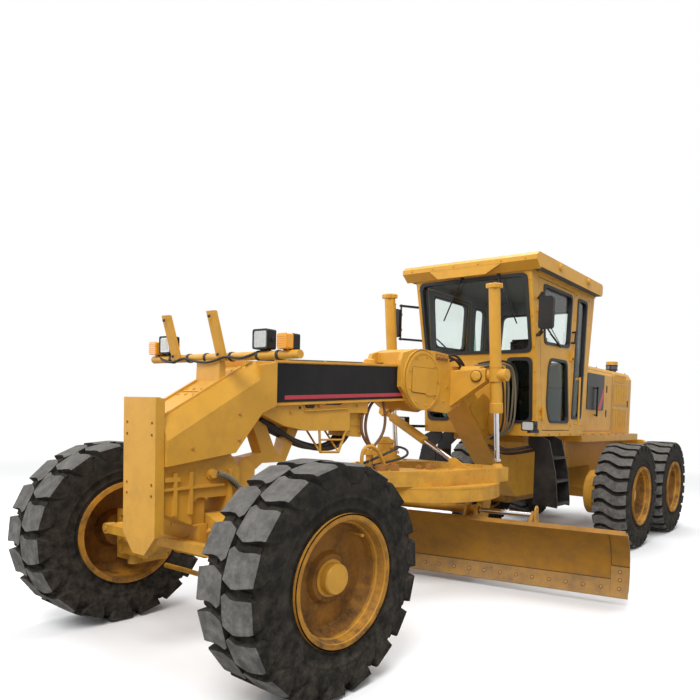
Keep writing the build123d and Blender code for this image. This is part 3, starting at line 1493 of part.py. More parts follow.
COLUMN_FOOT = (3600, FLOOR_Z + CAB_WALL + SEAT_GAP)
WHEEL_CENTRE = (3760, 2120)
with BuildPart() as steering_column:
    with BuildSketch(at_x(-60)):
        Polygon(
            (Y(COLUMN_FOOT[0] - 60), COLUMN_FOOT[1]),
            (Y(COLUMN_FOOT[0] + 90), COLUMN_FOOT[1]),
            (Y(WHEEL_CENTRE[0] + 30), WHEEL_CENTRE[1] - 30),
            (Y(WHEEL_CENTRE[0] - 50), WHEEL_CENTRE[1]),
            align=None,
        )
    extrude(amount=120)
    column_top = Plane(
        origin=(0, Y(WHEEL_CENTRE[0] - 8), WHEEL_CENTRE[1] - 20),
        x_dir=(1, 0, 0),
        z_dir=(0, 0.35, 1),
    )
    with BuildSketch(column_top):
        Circle(24)
    extrude(amount=70)
    with BuildSketch(column_top.offset(50)):
        Circle(190)
        Circle(165, mode=Mode.SUBTRACT)
    extrude(amount=24)
    with BuildSketch(column_top.offset(52)):
        Rectangle(340, 34)
        with Locations((0, -85)):
            Rectangle(34, 170)
    extrude(amount=14)
    # Lever pods left and right of the wheel
    for sign in (-1, 1):
        with BuildSketch(at_x(sign * 60)):
            with Locations((Y(WHEEL_CENTRE[0] - 50), WHEEL_CENTRE[1] - 160)):
                RectangleRounded(90, 110, 16)
        extrude(amount=sign * 230)
save(steering_column.part, "steering_column")

# Mirrors on bent arms beside the windshield
with BuildPart() as mirrors:
    for sign in (-1, 1):
        with BuildSketch(at_y(Y(3060))):
            with Locations((sign * 930, cab_z(2585))):
                RectangleRounded(150, 310, 30)
        extrude(amount=-46)
        with BuildSketch(at_z(cab_z(2395))):
            with Locations((sign * 868, Y(3112))):
                Circle(10)
        extrude(amount=CAB_SHARE * 400)
        for height in (cab_z(2400), cab_z(2770)):
            with BuildSketch(at_z(height)):
                Polygon(
                    (sign * (CAB_HALF_W + SEAT_GAP), Y(3360)),
                    (sign * (CAB_HALF_W + SEAT_GAP), Y(3325)),
                    (sign * 855, Y(3100)),
                    (sign * 885, Y(3100)),
                    (sign * 885, Y(3124)),
                    (sign * 740, Y(3360)),
                    align=None,
                )
            extrude(amount=20)
        with BuildSketch(at_z(cab_z(2575))):
            with Locations((sign * 895, Y(3112))):
                Rectangle(60, 22)
        extrude(amount=24)
save(mirrors.part, "mirrors")

# Access ladders below both doors
STEP_S = (3550, 3870)
STEP_X = (640, 915)
with BuildPart() as access_steps:
    for sign in (-1, 1):
        for station in STEP_S:
            with BuildSketch(at_y(Y(station - 8))):
                Polygon(
                    (sign * 560, FLOOR_Z - SEAT_GAP),
                    (sign * 560, FLOOR_Z - 90),
                    (sign * STEP_X[0], FLOOR_Z - 160),
                    (sign * STEP_X[0], 660),
                    (sign * STEP_X[1], 640),
                    (sign * STEP_X[1], 700),
                    (sign * (STEP_X[1] - 30), 1000),
                    (sign * 800, FLOOR_Z - 40),
                    (sign * 710, FLOOR_Z - SEAT_GAP),
                    align=None,
                )
            extrude(amount=-16)
        for height, out in ((660, STEP_X[1]), (900, STEP_X[1] - 20), (1140, STEP_X[1] - 70)):
            with BuildSketch(at_x(sign * STEP_X[0])):
                with Locations((Y((STEP_S[0] + STEP_S[1]) / 2), height + 15)):
                    Rectangle(STEP_S[1] - STEP_S[0], 30)
            extrude(amount=sign * (out - STEP_X[0]))
save(access_steps.part, "access_steps")

# Rear frame: rails, deck, axle housing, bumper, and the hitch nose with its pin
RAIL_X = 300
RAIL_HALF = 60
RAIL_LOW = 950
RAIL_HIGH = 1300
RAIL_S = (4950, TANDEM_S + 1364)
DECK_S = (4990, TANDEM_S + 1164)
BUMPER_S = TANDEM_S + 1304
BUMPER_T = 110
DECK_Z = 1385
AXLE_R = 140
CASE_IN = 600
TONGUE_LOW = 820
TONGUE_T = 70
with BuildPart() as rear_frame:
    for sign in (-1, 1):
        with BuildSketch(at_y(Y(RAIL_S[0]))):
            with Locations((sign * RAIL_X, (RAIL_LOW + RAIL_HIGH) / 2)):
                Rectangle(2 * RAIL_HALF, RAIL_HIGH - RAIL_LOW)
        extrude(amount=RAIL_S[0] - RAIL_S[1])
    for station in (RAIL_S[0], RAIL_S[0] + 610, TANDEM_S + 864, TANDEM_S + 1244):
        with BuildSketch(at_y(Y(station))):
            with Locations((0, (RAIL_LOW + RAIL_HIGH) / 2)):
                Rectangle(2 * RAIL_X, RAIL_HIGH - RAIL_LOW - 20)
        extrude(amount=-60)
    # Deck on which the hood stands
    with BuildSketch(at_z(RAIL_HIGH - 10)):
        with Locations((0, Y((DECK_S[0] + DECK_S[1]) / 2))):
            Rectangle(1160, DECK_S[1] - DECK_S[0])
    extrude(amount=DECK_Z - RAIL_HIGH + 10)
    # Hitch nose between the front frame's ears, and the pin through them
    with BuildSketch(at_z(EAR_BOTTOM + EAR_T + 6)):
        with Locations((0, Y(HITCH_S))):
            Circle(HITCH_R - 20)
        with Locations((0, Y((HITCH_S + RAIL_S[0]) / 2 + 30))):
            Rectangle(2 * HITCH_R - 40, RAIL_S[0] - HITCH_S + 60)
    extrude(amount=EAR_TOP - EAR_BOTTOM - 2 * EAR_T - 12)
    with BuildSketch(at_z(EAR_BOTTOM - 20)):
        with Locations((0, Y(HITCH_S))):
            Circle(HITCH_PIN_R)
    extrude(amount=EAR_TOP - EAR_BOTTOM + 40)
    # Axle housing under the rails
    with BuildSketch(at_x(-CASE_IN + 6)):
        with Locations((Y(TANDEM_S), WHEEL_Z)):
            Circle(AXLE_R)
    extrude(amount=2 * CASE_IN - 12)
    with BuildSketch(at_x(-CASE_IN - 30)):
        with Locations((Y(TANDEM_S), WHEEL_Z)):
            Circle(70)
    extrude(amount=2 * CASE_IN + 60)
    with BuildSketch(at_x(-RAIL_X - RAIL_HALF)):
        Polygon(
            (Y(TANDEM_S - 260), RAIL_LOW + 20),
            (Y(TANDEM_S + 260), RAIL_LOW + 20),
            (Y(TANDEM_S + 140), WHEEL_Z),
            (Y(TANDEM_S + 80), WHEEL_Z - 170),
            (Y(TANDEM_S - 80), WHEEL_Z - 170),
            (Y(TANDEM_S - 140), WHEEL_Z),
            align=None,
        )
    extrude(amount=2 * RAIL_X + 2 * RAIL_HALF)
    # Rear bumper and the towing hitch
    with BuildSketch(at_y(Y(BUMPER_S))):
        with Locations((0, 1030)):
            RectangleRounded(1300, 520, 60)
    extrude(amount=-BUMPER_T)
    with BuildSketch(at_x(-50)):
        Polygon(
            (Y(BUMPER_S + 100), TONGUE_LOW + TONGUE_T),
            (Y(REAR_END), TONGUE_LOW + TONGUE_T),
            (Y(REAR_END), TONGUE_LOW),
            (Y(BUMPER_S + 100), TONGUE_LOW),
            align=None,
        )
    extrude(amount=100)
    with BuildSketch(at_z(780)):
        with Locations((0, Y(REAR_END - 60))):
            Circle(25)
    extrude(amount=180, mode=Mode.SUBTRACT)
save(rear_frame.part, "rear_frame")

# Tandem cases: each rocks about the rear axle and carries two wheels
CASE_OUT = 800
CASE_R = 275
with BuildPart() as tandem_case:
    with BuildSketch(at_x(CASE_IN)):
        for station in REAR_WHEEL_S:
            with Locations((Y(station), WHEEL_Z)):
                Circle(CASE_R)
        with Locations((Y(TANDEM_S), WHEEL_Z)):
            Rectangle(TANDEM_PITCH, 2 * CASE_R)
    extrude(amount=CASE_OUT - CASE_IN)
    with BuildSketch(at_x(CASE_IN)):
        with Locations((Y(TANDEM_S), WHEEL_Z)):
            Circle(70 + RUNNING_GAP)
    extrude(amount=40, mode=Mode.SUBTRACT)
    for station in REAR_WHEEL_S:
        with BuildSketch(at_x(CASE_OUT)):
            with Locations((Y(station), WHEEL_Z)):
                Circle(SPINDLE_R)
        extrude(amount=SPINDLE_END - CASE_OUT)
        with BuildSketch(at_x(CASE_OUT)):
            with Locations((Y(station), WHEEL_Z)):
                Circle(130)
        extrude(amount=150)
save(tandem_case.part, "tandem_left")
save(other_side(tandem_case.part), "tandem_right")

# Engine, as one plain block on the rails
ENGINE_S = (5550, TANDEM_S + 664)
with BuildPart() as engine:
    with BuildSketch(at_z(DECK_Z + SEAT_GAP)):
        with Locations((0, Y((ENGINE_S[0] + ENGINE_S[1]) / 2))):
            Rectangle(640, ENGINE_S[1] - ENGINE_S[0])
    extrude(amount=720)
save(engine.part, "engine")

# Hood: a hollow cover with bevelled top edges and rows of louvres
HOOD_HALF_W = 460
HOOD_S = (DECK_S[0] + 10, DECK_S[1] - 50)
HOOD_TOP = 2290
HOOD_WALL = 25
LOUVRES = (
    # first station, last station, lowest, count, pitch
    (HOOD_S[1] - 770, HOOD_S[1] - 240, 1430, 6, 56),
    (HOOD_S[1] - 770, HOOD_S[1] - 240, 1850, 5, 56),
)
with BuildPart() as engine_hood:
    with BuildSketch(at_y(Y(HOOD_S[0]))):
        Polygon(
            (-HOOD_HALF_W, DECK_Z + SEAT_GAP),
            (HOOD_HALF_W, DECK_Z + SEAT_GAP),
            (HOOD_HALF_W, HOOD_TOP - 90),
            (HOOD_HALF_W - 60, HOOD_TOP),
            (-HOOD_HALF_W + 60, HOOD_TOP),
            (-HOOD_HALF_W, HOOD_TOP - 90),
            align=None,
        )
    extrude(amount=HOOD_S[0] - HOOD_S[1])
    with BuildSketch(at_y(Y(HOOD_S[0] + HOOD_WALL))):
        Polygon(
            (-HOOD_HALF_W + HOOD_WALL, DECK_Z + SEAT_GAP),
            (HOOD_HALF_W - HOOD_WALL, DECK_Z + SEAT_GAP),
            (HOOD_HALF_W - HOOD_WALL, HOOD_TOP - 95),
            (HOOD_HALF_W - 70, HOOD_TOP - HOOD_WALL),
            (-HOOD_HALF_W + 70, HOOD_TOP - HOOD_WALL),
            (-HOOD_HALF_W + HOOD_WALL, HOOD_TOP - 95),
            align=None,
        )
    extrude(amount=HOOD_S[0] - HOOD_S[1] + 2 * HOOD_WALL, mode=Mode.SUBTRACT)
    for first, last, lowest, count, pitch in LOUVRES:
        with BuildSketch(at_x(0)):
            with Locations(*[(Y((first + last) / 2), lowest + 15 + pitch * row) for row in range(count)]):
                Rectangle(last - first, 26)
        extrude(amount=HOOD_HALF_W + 10, both=True, mode=Mode.SUBTRACT)
    # Slots at the back for the radiator's air
    with BuildSketch(at_y(Y(HOOD_S[1] - 2 * HOOD_WALL))):
        with Locations(*[(0, 1840 - 280 + 70 * row) for row in range(9)]):
            Rectangle(650, 40)
    extrude(amount=-3 * HOOD_WALL, mode=Mode.SUBTRACT)
save(engine_hood.part, "engine_hood")

# Blank dark plates on the hood's sides
with BuildPart() as side_plates:
    for sign in (-1, 1):
        with BuildSketch(at_x(sign * (HOOD_HALF_W + SEAT_GAP))):
            with Locations((Y(5700), 1950)):
                RectangleRounded(620, 480, 20)
        extrude(amount=sign * 8)
save(side_plates.part, "side_plates")

# Air cleaner and exhaust on top of the hood
with BuildPart() as intake_and_exhaust:
    with BuildSketch(at_z(HOOD_TOP + SEAT_GAP)):
        with Locations((300, Y(HOOD_S[1] - 450))):
            Circle(60)
    extrude(amount=60)
    with BuildSketch(at_z(HOOD_TOP + 50)):
        with Locations((300, Y(HOOD_S[1] - 450))):
            Circle(85)
    extrude(amount=110)
    with BuildSketch(at_z(HOOD_TOP + SEAT_GAP)):
        with Locations((-200, Y(HOOD_S[1] - 750))):
            Circle(55)
            Circle(45, mode=Mode.SUBTRACT)
    extrude(amount=430)
save(intake_and_exhaust.part, "intake_and_exhaust")

with BuildPart() as tail_lamps:
    for sign in (-1, 1):
        with BuildSketch(at_y(Y(BUMPER_S + BUMPER_T + SEAT_GAP))):
            with Locations((sign * 540, 1130)):
                RectangleRounded(120, 80, 12)
        extrude(amount=-30)
save(tail_lamps.part, "tail_lamps")
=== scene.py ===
"""Motor grader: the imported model's pieces get their finishes, and the small parts are made on them."""

import math
import random

import bmesh
import bpy
from mathutils import Matrix, Vector


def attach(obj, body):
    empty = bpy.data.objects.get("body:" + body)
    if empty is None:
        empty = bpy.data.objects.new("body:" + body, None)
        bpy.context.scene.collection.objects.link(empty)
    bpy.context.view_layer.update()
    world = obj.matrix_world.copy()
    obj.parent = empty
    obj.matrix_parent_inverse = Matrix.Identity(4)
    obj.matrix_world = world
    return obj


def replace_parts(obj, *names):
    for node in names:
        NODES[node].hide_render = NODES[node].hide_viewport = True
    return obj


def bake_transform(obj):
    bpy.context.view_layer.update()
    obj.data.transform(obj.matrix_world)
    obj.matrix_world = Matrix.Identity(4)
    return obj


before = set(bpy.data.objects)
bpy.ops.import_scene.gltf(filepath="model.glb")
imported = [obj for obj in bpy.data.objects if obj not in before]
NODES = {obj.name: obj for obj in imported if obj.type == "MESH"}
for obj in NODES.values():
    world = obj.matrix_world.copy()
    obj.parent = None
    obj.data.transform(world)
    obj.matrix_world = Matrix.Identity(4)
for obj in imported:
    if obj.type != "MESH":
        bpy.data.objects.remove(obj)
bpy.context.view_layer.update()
scene = bpy.context.scene
scene.view_settings.view_transform = "Standard"

# Stations are metres behind the front axle, as in the part's own source
FRONT_AXLE_Y = -3.486


def Y(station):
    return FRONT_AXLE_Y + station


# Camera: the photograph's viewpoint, low and close to the left front wheel
CAMERA_PLACE = (3.574, Y(-2.514), 1.559)
CAMERA_YAW = math.radians(34.02)
CAMERA_PITCH = math.radians(-2.69)
CAMERA_ROLL = math.radians(1.84)
CAMERA_LENS = 32.45
CAMERA_SHIFT = (-0.1349, 0.1369)


def add_camera():
    data = bpy.data.cameras.new("camera")
    data.sensor_width = 36
    data.lens = CAMERA_LENS
    data.shift_x, data.shift_y = CAMERA_SHIFT
    data.clip_end = 200
    camera = bpy.data.objects.new("camera", data)
    scene.collection.objects.link(camera)
    camera.location = CAMERA_PLACE
    turn = Matrix.Rotation(CAMERA_YAW, 3, "Z") @ Matrix.Rotation(math.radians(90) + CAMERA_PITCH, 3, "X")
    camera.rotation_euler = (turn @ Matrix.Rotation(CAMERA_ROLL, 3, "Z")).to_euler()
    scene.camera = camera


add_camera()


# Shader helpers
def new_tree(name, inputs, outputs):
    """Node group with named sockets; inputs are (name, kind, value) and outputs (name, kind)."""
    tree = bpy.data.node_groups.new(name, "ShaderNodeTree")
    for label, kind, value in inputs:
        socket = tree.interface.new_socket(label, in_out="INPUT", socket_type=kind)
        socket.default_value = value
    for label, kind in outputs:
        tree.interface.new_socket(label, in_out="OUTPUT", socket_type=kind)
    return tree


def node(tree, kind, **settings):
    made = tree.nodes.new(kind)
    for key, value in settings.items():
        setattr(made, key, value)
    return made


def noise(tree, place, scale, detail=4.0, rough=0.6):
    made = node(tree, "ShaderNodeTexNoise")
    made.inputs["Scale"].default_value = scale
    made.inputs["Detail"].default_value = detail
    made.inputs["Roughness"].default_value = rough
    tree.links.new(place, made.inputs["Vector"])
    return made.outputs["Fac"]


def ramp(tree, value, low, high, to_low=0.0, to_high=1.0):
    """Maps low..high to to_low..to_high and clamps."""
    made = node(tree, "ShaderNodeMapRange")
    made.inputs["From Min"].default_value = low
    made.inputs["From Max"].default_value = high
    made.inputs["To Min"].default_value = to_low
    made.inputs["To Max"].default_value = to_high
    tree.links.new(value, made.inputs["Value"])
    return made.outputs["Result"]


def maths(tree, operation, first, second):
    made = node(tree, "ShaderNodeMath", operation=operation)
    for slot, value in enumerate((first, second)):
        if isinstance(value, (int, float)):
            made.inputs[slot].default_value = value
        else:
            tree.links.new(value, made.inputs[slot])
    return made.outputs[0]


def mix(tree, share, first, second):
    made = node(tree, "ShaderNodeMix", data_type="RGBA")
    for slot, value in ((0, share), (6, first), (7, second)):
        if isinstance(value, (int, float)):
            made.inputs[slot].default_value = value
        elif isinstance(value, tuple):
            made.inputs[slot].default_value = (*value, 1.0)[:4]
        else:
            tree.links.new(value, made.inputs[slot])
    return made.outputs[2]


def wear_group():
    """Faded, dusty, chipped surface: colour, roughness and a fine height."""
    tree = new_tree(
        "weathering",
        [
            ("Color", "NodeSocketColor", (0.8, 0.5, 0.05, 1)),
            ("Under Color", "NodeSocketColor", (0.12, 0.06, 0.03, 1)),
            ("Dust Color", "NodeSocketColor", (0.30, 0.24, 0.17, 1)),
            ("Dust", "NodeSocketFloat", 0.3),
            ("Chips", "NodeSocketFloat", 0.2),
            ("Gloss", "NodeSocketFloat", 0.4),
            ("Grain", "NodeSocketFloat", 1.0),
        ],
        [("Color", "NodeSocketColor"), ("Roughness", "NodeSocketFloat"), ("Height", "NodeSocketFloat")],
    )
    start = node(tree, "NodeGroupInput")
    end = node(tree, "NodeGroupOutput")
    place = node(tree, "ShaderNodeTexCoord").outputs["Object"]
    split = node(tree, "ShaderNodeSeparateXYZ")
    tree.links.new(place, split.inputs[0])
    scaled = node(tree, "ShaderNodeVectorMath", operation="SCALE")
    tree.links.new(place, scaled.inputs[0])
    tree.links.new(start.outputs["Grain"], scaled.inputs["Scale"])
    grain = scaled.outputs[0]
    broad = noise(tree, grain, 1.3, 5)
    middle = noise(tree, grain, 7.0, 6, 0.65)
    fine = noise(tree, grain, 55.0, 5, 0.7)
    # Faded patches
    pale = mix(tree, 0.5, start.outputs["Color"], start.outputs["Dust Color"])
    deep = mix(tree, 0.45, start.outputs["Color"], (0.0, 0.0, 0.0))
    faded = mix(tree, ramp(tree, broad, 0.4, 0.75, 0.0, 0.12), start.outputs["Color"], pale)
    darker = mix(tree, ramp(tree, middle, 0.45, 0.75, 0.0, 0.30), faded, deep)
    # Dust gathers low down and in patches
    low = ramp(tree, split.outputs["Z"], 1.6, 0.1)
    patch = maths(tree, "MULTIPLY", ramp(tree, middle, 0.38, 0.68), ramp(tree, fine, 0.3, 0.7, 0.4, 1.0))
    dust = maths(tree, "MULTIPLY", maths(tree, "ADD", maths(tree, "MULTIPLY", low, 0.8), 0.25), patch)
    dust = maths(tree, "MULTIPLY", dust, start.outputs["Dust"])
    dusty = mix(tree, dust, darker, start.outputs["Dust Color"])
    # Chips down to rusty metal
    chip_noise = maths(tree, "ADD", maths(tree, "MULTIPLY", fine, 0.6), maths(tree, "MULTIPLY", middle, 0.4))
    edge = maths(tree, "SUBTRACT", 0.80, maths(tree, "MULTIPLY", start.outputs["Chips"], 0.22))
    chips = maths(tree, "GREATER_THAN", chip_noise, edge)
    tree.links.new(mix(tree, chips, dusty, start.outputs["Under Color"]), end.inputs["Color"])
    rough = maths(tree, "ADD", start.outputs["Gloss"], maths(tree, "MULTIPLY", dust, 0.4))
    rough = maths(tree, "ADD", rough, maths(tree, "MULTIPLY", chips, 0.25))
    rough = maths(tree, "ADD", rough, ramp(tree, fine, 0.2, 0.8, -0.05, 0.08))
    tree.links.new(rough, end.inputs["Roughness"])
    height = maths(tree, "ADD", maths(tree, "MULTIPLY", fine, 0.35), maths(tree, "MULTIPLY", middle, 0.4))
    height = maths(tree, "SUBTRACT", height, maths(tree, "MULTIPLY", chips, 0.5))
    tree.links.new(height, end.inputs["Height"])
    return tree


WEAR = wear_group()


def surface(name, color, under=(0.10, 0.05, 0.03), dust_color=(0.30, 0.24, 0.17), dust=0.3, chips=0.2, gloss=0.4,
            metallic=0.0, bump=0.15, coat=0.0, bevel=0.003, shine=0.3, grain=1.0):
    """Material whose colour, roughness and bump come from the weathering group."""
    material = bpy.data.materials.new(name)
    material.use_nodes = True
    tree = material.node_tree
    shader = tree.nodes["Principled BSDF"]
    wear = node(tree, "ShaderNodeGroup", node_tree=WEAR)
    for label, value in (("Color", (*color, 1)), ("Under Color", (*under, 1)), ("Dust Color", (*dust_color, 1)),
                         ("Dust", dust), ("Chips", chips), ("Gloss", gloss), ("Grain", grain)):
        wear.inputs[label].default_value = value
    tree.links.new(wear.outputs["Color"], shader.inputs["Base Color"])
    tree.links.new(wear.outputs["Roughness"], shader.inputs["Roughness"])
    rise = node(tree, "ShaderNodeBump")
    rise.inputs["Strength"].default_value = bump
    rise.inputs["Distance"].default_value = 0.004
    tree.links.new(wear.outputs["Height"], rise.inputs["Height"])
    if bevel:
        soft = node(tree, "ShaderNodeBevel", samples=4)
        soft.inputs["Radius"].default_value = bevel
        tree.links.new(soft.outputs["Normal"], rise.inputs["Normal"])
    tree.links.new(rise.outputs["Normal"], shader.inputs["Normal"])
    shader.inputs["Metallic"].default_value = metallic
    shader.inputs["Coat Weight"].default_value = coat
    shader.inputs["Specular IOR Level"].default_value = shine
    return material


def plain(name, color, rough=0.5, metallic=0.0, **sockets):
    """Smooth material for glass, lenses, chrome and thin rubber."""
    material = bpy.data.materials.new(name)
    material.use_nodes = True
    shader = material.node_tree.nodes["Principled BSDF"]
    shader.inputs["Base Color"].default_value = (*color, 1)
    shader.inputs["Roughness"].default_value = rough
    shader.inputs["Metallic"].default_value = metallic
    for label, value in sockets.items():
        shader.inputs[label.replace("_", " ")].default_value = value
    return material


YELLOW = (0.655, 0.33, 0.036)
# M holds the finishes by a short key
M = {
    "yellow": surface("yellow_paint", YELLOW, dust_color=(0.34, 0.20, 0.07), dust=0.35, chips=0.06, gloss=0.40),
    "yellow_low": surface("yellow_paint_worn", YELLOW, dust_color=(0.26, 0.145, 0.045), dust=0.8, chips=0.30,
                          gloss=0.46),
    "rim": surface("rim_paint", (0.48, 0.215, 0.020), dust_color=(0.11, 0.060, 0.026), dust=1.5, chips=0.6, gloss=0.5),
    # Darker copy of the rim paint for each wheel's disc deep in its barrel: painted shade, with real dust and chips on
    # it
    "rim_painted_shade": surface("rim_paint_shaded", (0.30, 0.125, 0.012), dust_color=(0.075, 0.040, 0.018), dust=1.5,
                        chips=0.75, gloss=0.55),
    # Blade paint far darker than the yellow: painted shade on the down-facing mouldboard; its dust and chips are real
    # wear
    "blade": surface("blade_paint_painted_shade", (0.37, 0.165, 0.012), under=(0.12, 0.055, 0.02), dust_color=(0.22, 0.115, 0.035),
                     dust=0.9,
                     chips=0.22, gloss=0.42),
    "black": surface("black_paint", (0.010, 0.010, 0.011), under=(0.04, 0.035, 0.03), dust=0.2, chips=0.1, gloss=0.35,
                     shine=0.25),
    "panel": surface("panel_film", (0.007, 0.007, 0.009), under=(0.03, 0.03, 0.03), dust=0.06, chips=0.0, gloss=0.38,
                     shine=0.15),
    "stripe": surface("stripe_film", (0.46, 0.04, 0.06), under=(0.3, 0.2, 0.2), dust=0.15, chips=0.0, gloss=0.4),
    # Darker copy of the yellow for thin lines round plates and caps: painted shadow at their edges
    "seam": surface("seam_shadow", (0.14, 0.065, 0.012), under=(0.06, 0.03, 0.01), dust=0.2, chips=0.2, gloss=0.6),
    "seal": plain("window_rubber", (0.012, 0.012, 0.013), 0.6),
    "plastic": surface("black_plastic", (0.010, 0.010, 0.011), under=(0.03, 0.03, 0.03), dust=0.15, chips=0.0,
                       gloss=0.5, shine=0.25),
    "rubber": surface("tyre_rubber", (0.011, 0.010, 0.0085), under=(0.062, 0.056, 0.050),
                      dust_color=(0.085, 0.072, 0.056),
                      dust=1.2, chips=0.8, gloss=0.75, bump=0.7, bevel=0.006, shine=0.15, grain=2.2),
    "tread": surface("tyre_tread", (0.090, 0.085, 0.079), under=(0.030, 0.028, 0.026), dust_color=(0.26, 0.245, 0.225),
                     dust=1.3, chips=0.3, gloss=0.85, bump=1.0, bevel=0.006, shine=0.2, grain=2.2),
    "lining": surface("cab_lining", (0.13, 0.135, 0.13), under=(0.08, 0.08, 0.08), dust=0.15, chips=0.0, gloss=0.75),
    "edge": surface("worn_edge_paint", (0.42, 0.22, 0.05), under=(0.13, 0.065, 0.03), dust_color=(0.24, 0.15, 0.08),
                    dust=1.2,
                    chips=0.75, gloss=0.5),
    "bolt": surface("ochre_bolts", (0.58, 0.24, 0.03), under=(0.14, 0.06, 0.03), dust=0.4, chips=0.5, gloss=0.45),
    "rust_cast": surface("rusty_casting", (0.38, 0.17, 0.035), under=(0.10, 0.045, 0.02),
                         dust_color=(0.30, 0.19, 0.09), dust=1.0,
                         chips=0.9, gloss=0.6, bump=0.5),
    "rusty_hose": surface("brown_hose", (0.17, 0.075, 0.030), under=(0.05, 0.03, 0.02), dust_color=(0.26, 0.16, 0.08),
                          dust=1.0,
                          chips=0.3, gloss=0.6),
    "pale_hose": surface("sun_bleached_hose", (0.20, 0.17, 0.11), under=(0.06, 0.05, 0.04),
                         dust_color=(0.36, 0.31, 0.22), dust=1.0,
                         chips=0.3, gloss=0.6),
    "mirror_dark": plain("smoked_bowl", (0.10, 0.10, 0.11), 0.12, 0.6),
    "steel": surface("dark_steel", (0.05, 0.045, 0.04), under=(0.12, 0.06, 0.03), dust=0.4, chips=0.3, gloss=0.5,
                     metallic=0.4),
    "hose": surface("hose_rubber", (0.02, 0.019, 0.018), under=(0.04, 0.035, 0.03), dust=0.35, chips=0.1, gloss=0.55),
    "chrome": plain("chrome_rod", (0.75, 0.75, 0.76), 0.12, 1.0),
    "fabric": surface("seat_fabric", (0.03, 0.03, 0.034), under=(0.03, 0.03, 0.03), dust=0.1, chips=0.0, gloss=0.85),
    "amber": plain("amber_lens", (0.80, 0.33, 0.012), 0.25, 0.0, Coat_Weight=0.3),
    "red": plain("red_lens", (0.5, 0.02, 0.015), 0.15, 0.0, Coat_Weight=0.6),
    "lens": plain("lamp_lens", (0.50, 0.50, 0.48), 0.18, 0.0, Coat_Weight=0.8),
    "mirror": plain("mirror_glass", (0.8, 0.82, 0.84), 0.04, 1.0),
    "glass": plain("window_glass", (0.86, 0.91, 0.89), 0.02, IOR=1.25, Transmission_Weight=1.0),
    # Dark green glass for the lower panes: painted dark reflection and interior shade
    "glass_painted_reflection": plain("window_glass_painted_reflection", (0.22, 0.36, 0.30), 0.02, IOR=1.25, Transmission_Weight=1.0),
}


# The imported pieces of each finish; the others are yellow
FINISHES = {
    "rubber": [n for n in NODES if "_tyre_" in n],
    "rim": [n for n in NODES if "_rim_" in n],
    "yellow_low": ["front_axle", "lean_housing_left", "lean_housing_right", "knuckle_left", "knuckle_right", "tie_rod",
       "tie_rod_end", "lean_bar", "steering_barrels", "drawbar", "circle", "tilt_brackets", "tandem_left",
       "tandem_right", "side_shift_barrel", "centre_shift_barrel"],
    # The mouldboard takes the darker blade paint, which is painted shade
    "blade": ["moldboard"],
    "edge": ["cutting_edge"],
    "black": ["access_steps", "engine", "side_plates"],
    "plastic": ["mirrors", "head_lamps", "steering_column"],
    "chrome": ["lift_rods", "side_shift_rod", "centre_shift_rod", "steering_rod_left", "steering_rod_right"],
    "amber": ["signal_lamps"],
    "red": ["tail_lamps"],
    "glass": ["cab_glass", "door_glass_left", "door_glass_right"],
    "fabric": ["seat"],
}
node_finish = {name: key for key, names in FINISHES.items() for name in names}
for name, packed in NODES.items():
    packed.data.materials.clear()
    packed.data.materials.append(M[node_finish.get(name, "yellow")])


def second_finish(node_name, key, chosen):
    """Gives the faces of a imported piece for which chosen(centre, normal) holds a second material."""
    mesh = NODES[node_name].data
    mesh.materials.append(M[key])
    last = len(mesh.materials) - 1
    for face in mesh.polygons:
        if chosen(face.center, face.normal):
            face.material_index = last


# Sizes shared with the part, in metres
WHEEL_X = 1.055
WHEEL_Z = 0.648
TREAD_R = 0.648
RIM_R = 0.315
FRONT_S = 0.0
REAR_S = (5.3245, 6.8475)
CAB_SIDE_X = 0.712
RUBBER_X = 0.719
# Height below which the cab's glass takes its painted dark reflection
PAINTED_REFLECTION_TOP = 2.16
SILL_Z = 2.17
SILL_S = 3.360
CAB_SLOPE_HIGH = 0.192 / 0.879
CAB_SLOPE_LOW = 0.060 / 0.790
FLOOR_TOP = 1.4303
BEAM_X = 0.150
NOSE_X = 0.190
CIRCLE_S = 2.380
BLADE_YAW = math.radians(9.5)
WHEELS = [
    # name, body, x sign, station
    (f"{row}_{side}", f"{row}_wheel_{side}", sign, station)
    for side, sign in (("left", 1), ("right", -1))
    for row, station in (("front", FRONT_S), ("fore", REAR_S[0]), ("aft", REAR_S[1]))
]


def in_cabin(place):
    """True inside the cab's room, between its walls, floor and roof."""
    station = place.y - FRONT_AXLE_Y
    front = 3.412 + (SILL_Z - place.z) * (0.19 / 0.879 if place.z > SILL_Z else 0.058 / 0.74)
    back = 4.612 + (place.z - 1.43) * 0.214 / 1.619
    return abs(place.x) < 0.661 and front - 0.002 < station < back + 0.002 and 1.428 < place.z < 3.06


# Panes below that height get the dark green glass: painted reflection and interior shade
for name in ("door_glass_left", "door_glass_right", "cab_glass"):
    second_finish(name, "glass_painted_reflection", lambda centre, normal: centre.z < PAINTED_REFLECTION_TOP)


def rim_disc_in_painted_shade(station):
    """Finds the faces of a wheel's disc, inside its barrel, which get the darker rim paint as painted shade."""
    def chosen(centre, normal):
        return math.hypot(centre.y - Y(station), centre.z - WHEEL_Z) < RIM_R and abs(centre.x) - WHEEL_X < 0.13
    return chosen


# The discs inside the rims' barrels get the darker rim paint: painted shade
for name, _body, _sign, station in WHEELS:
    second_finish(name.replace("_", "_rim_"), "rim_painted_shade", rim_disc_in_painted_shade(station))
for name in ("cab_shell", "door_left", "door_right", "cab_roof"):
    second_finish(name, "lining", lambda centre, normal: in_cabin(centre + 0.004 * normal))


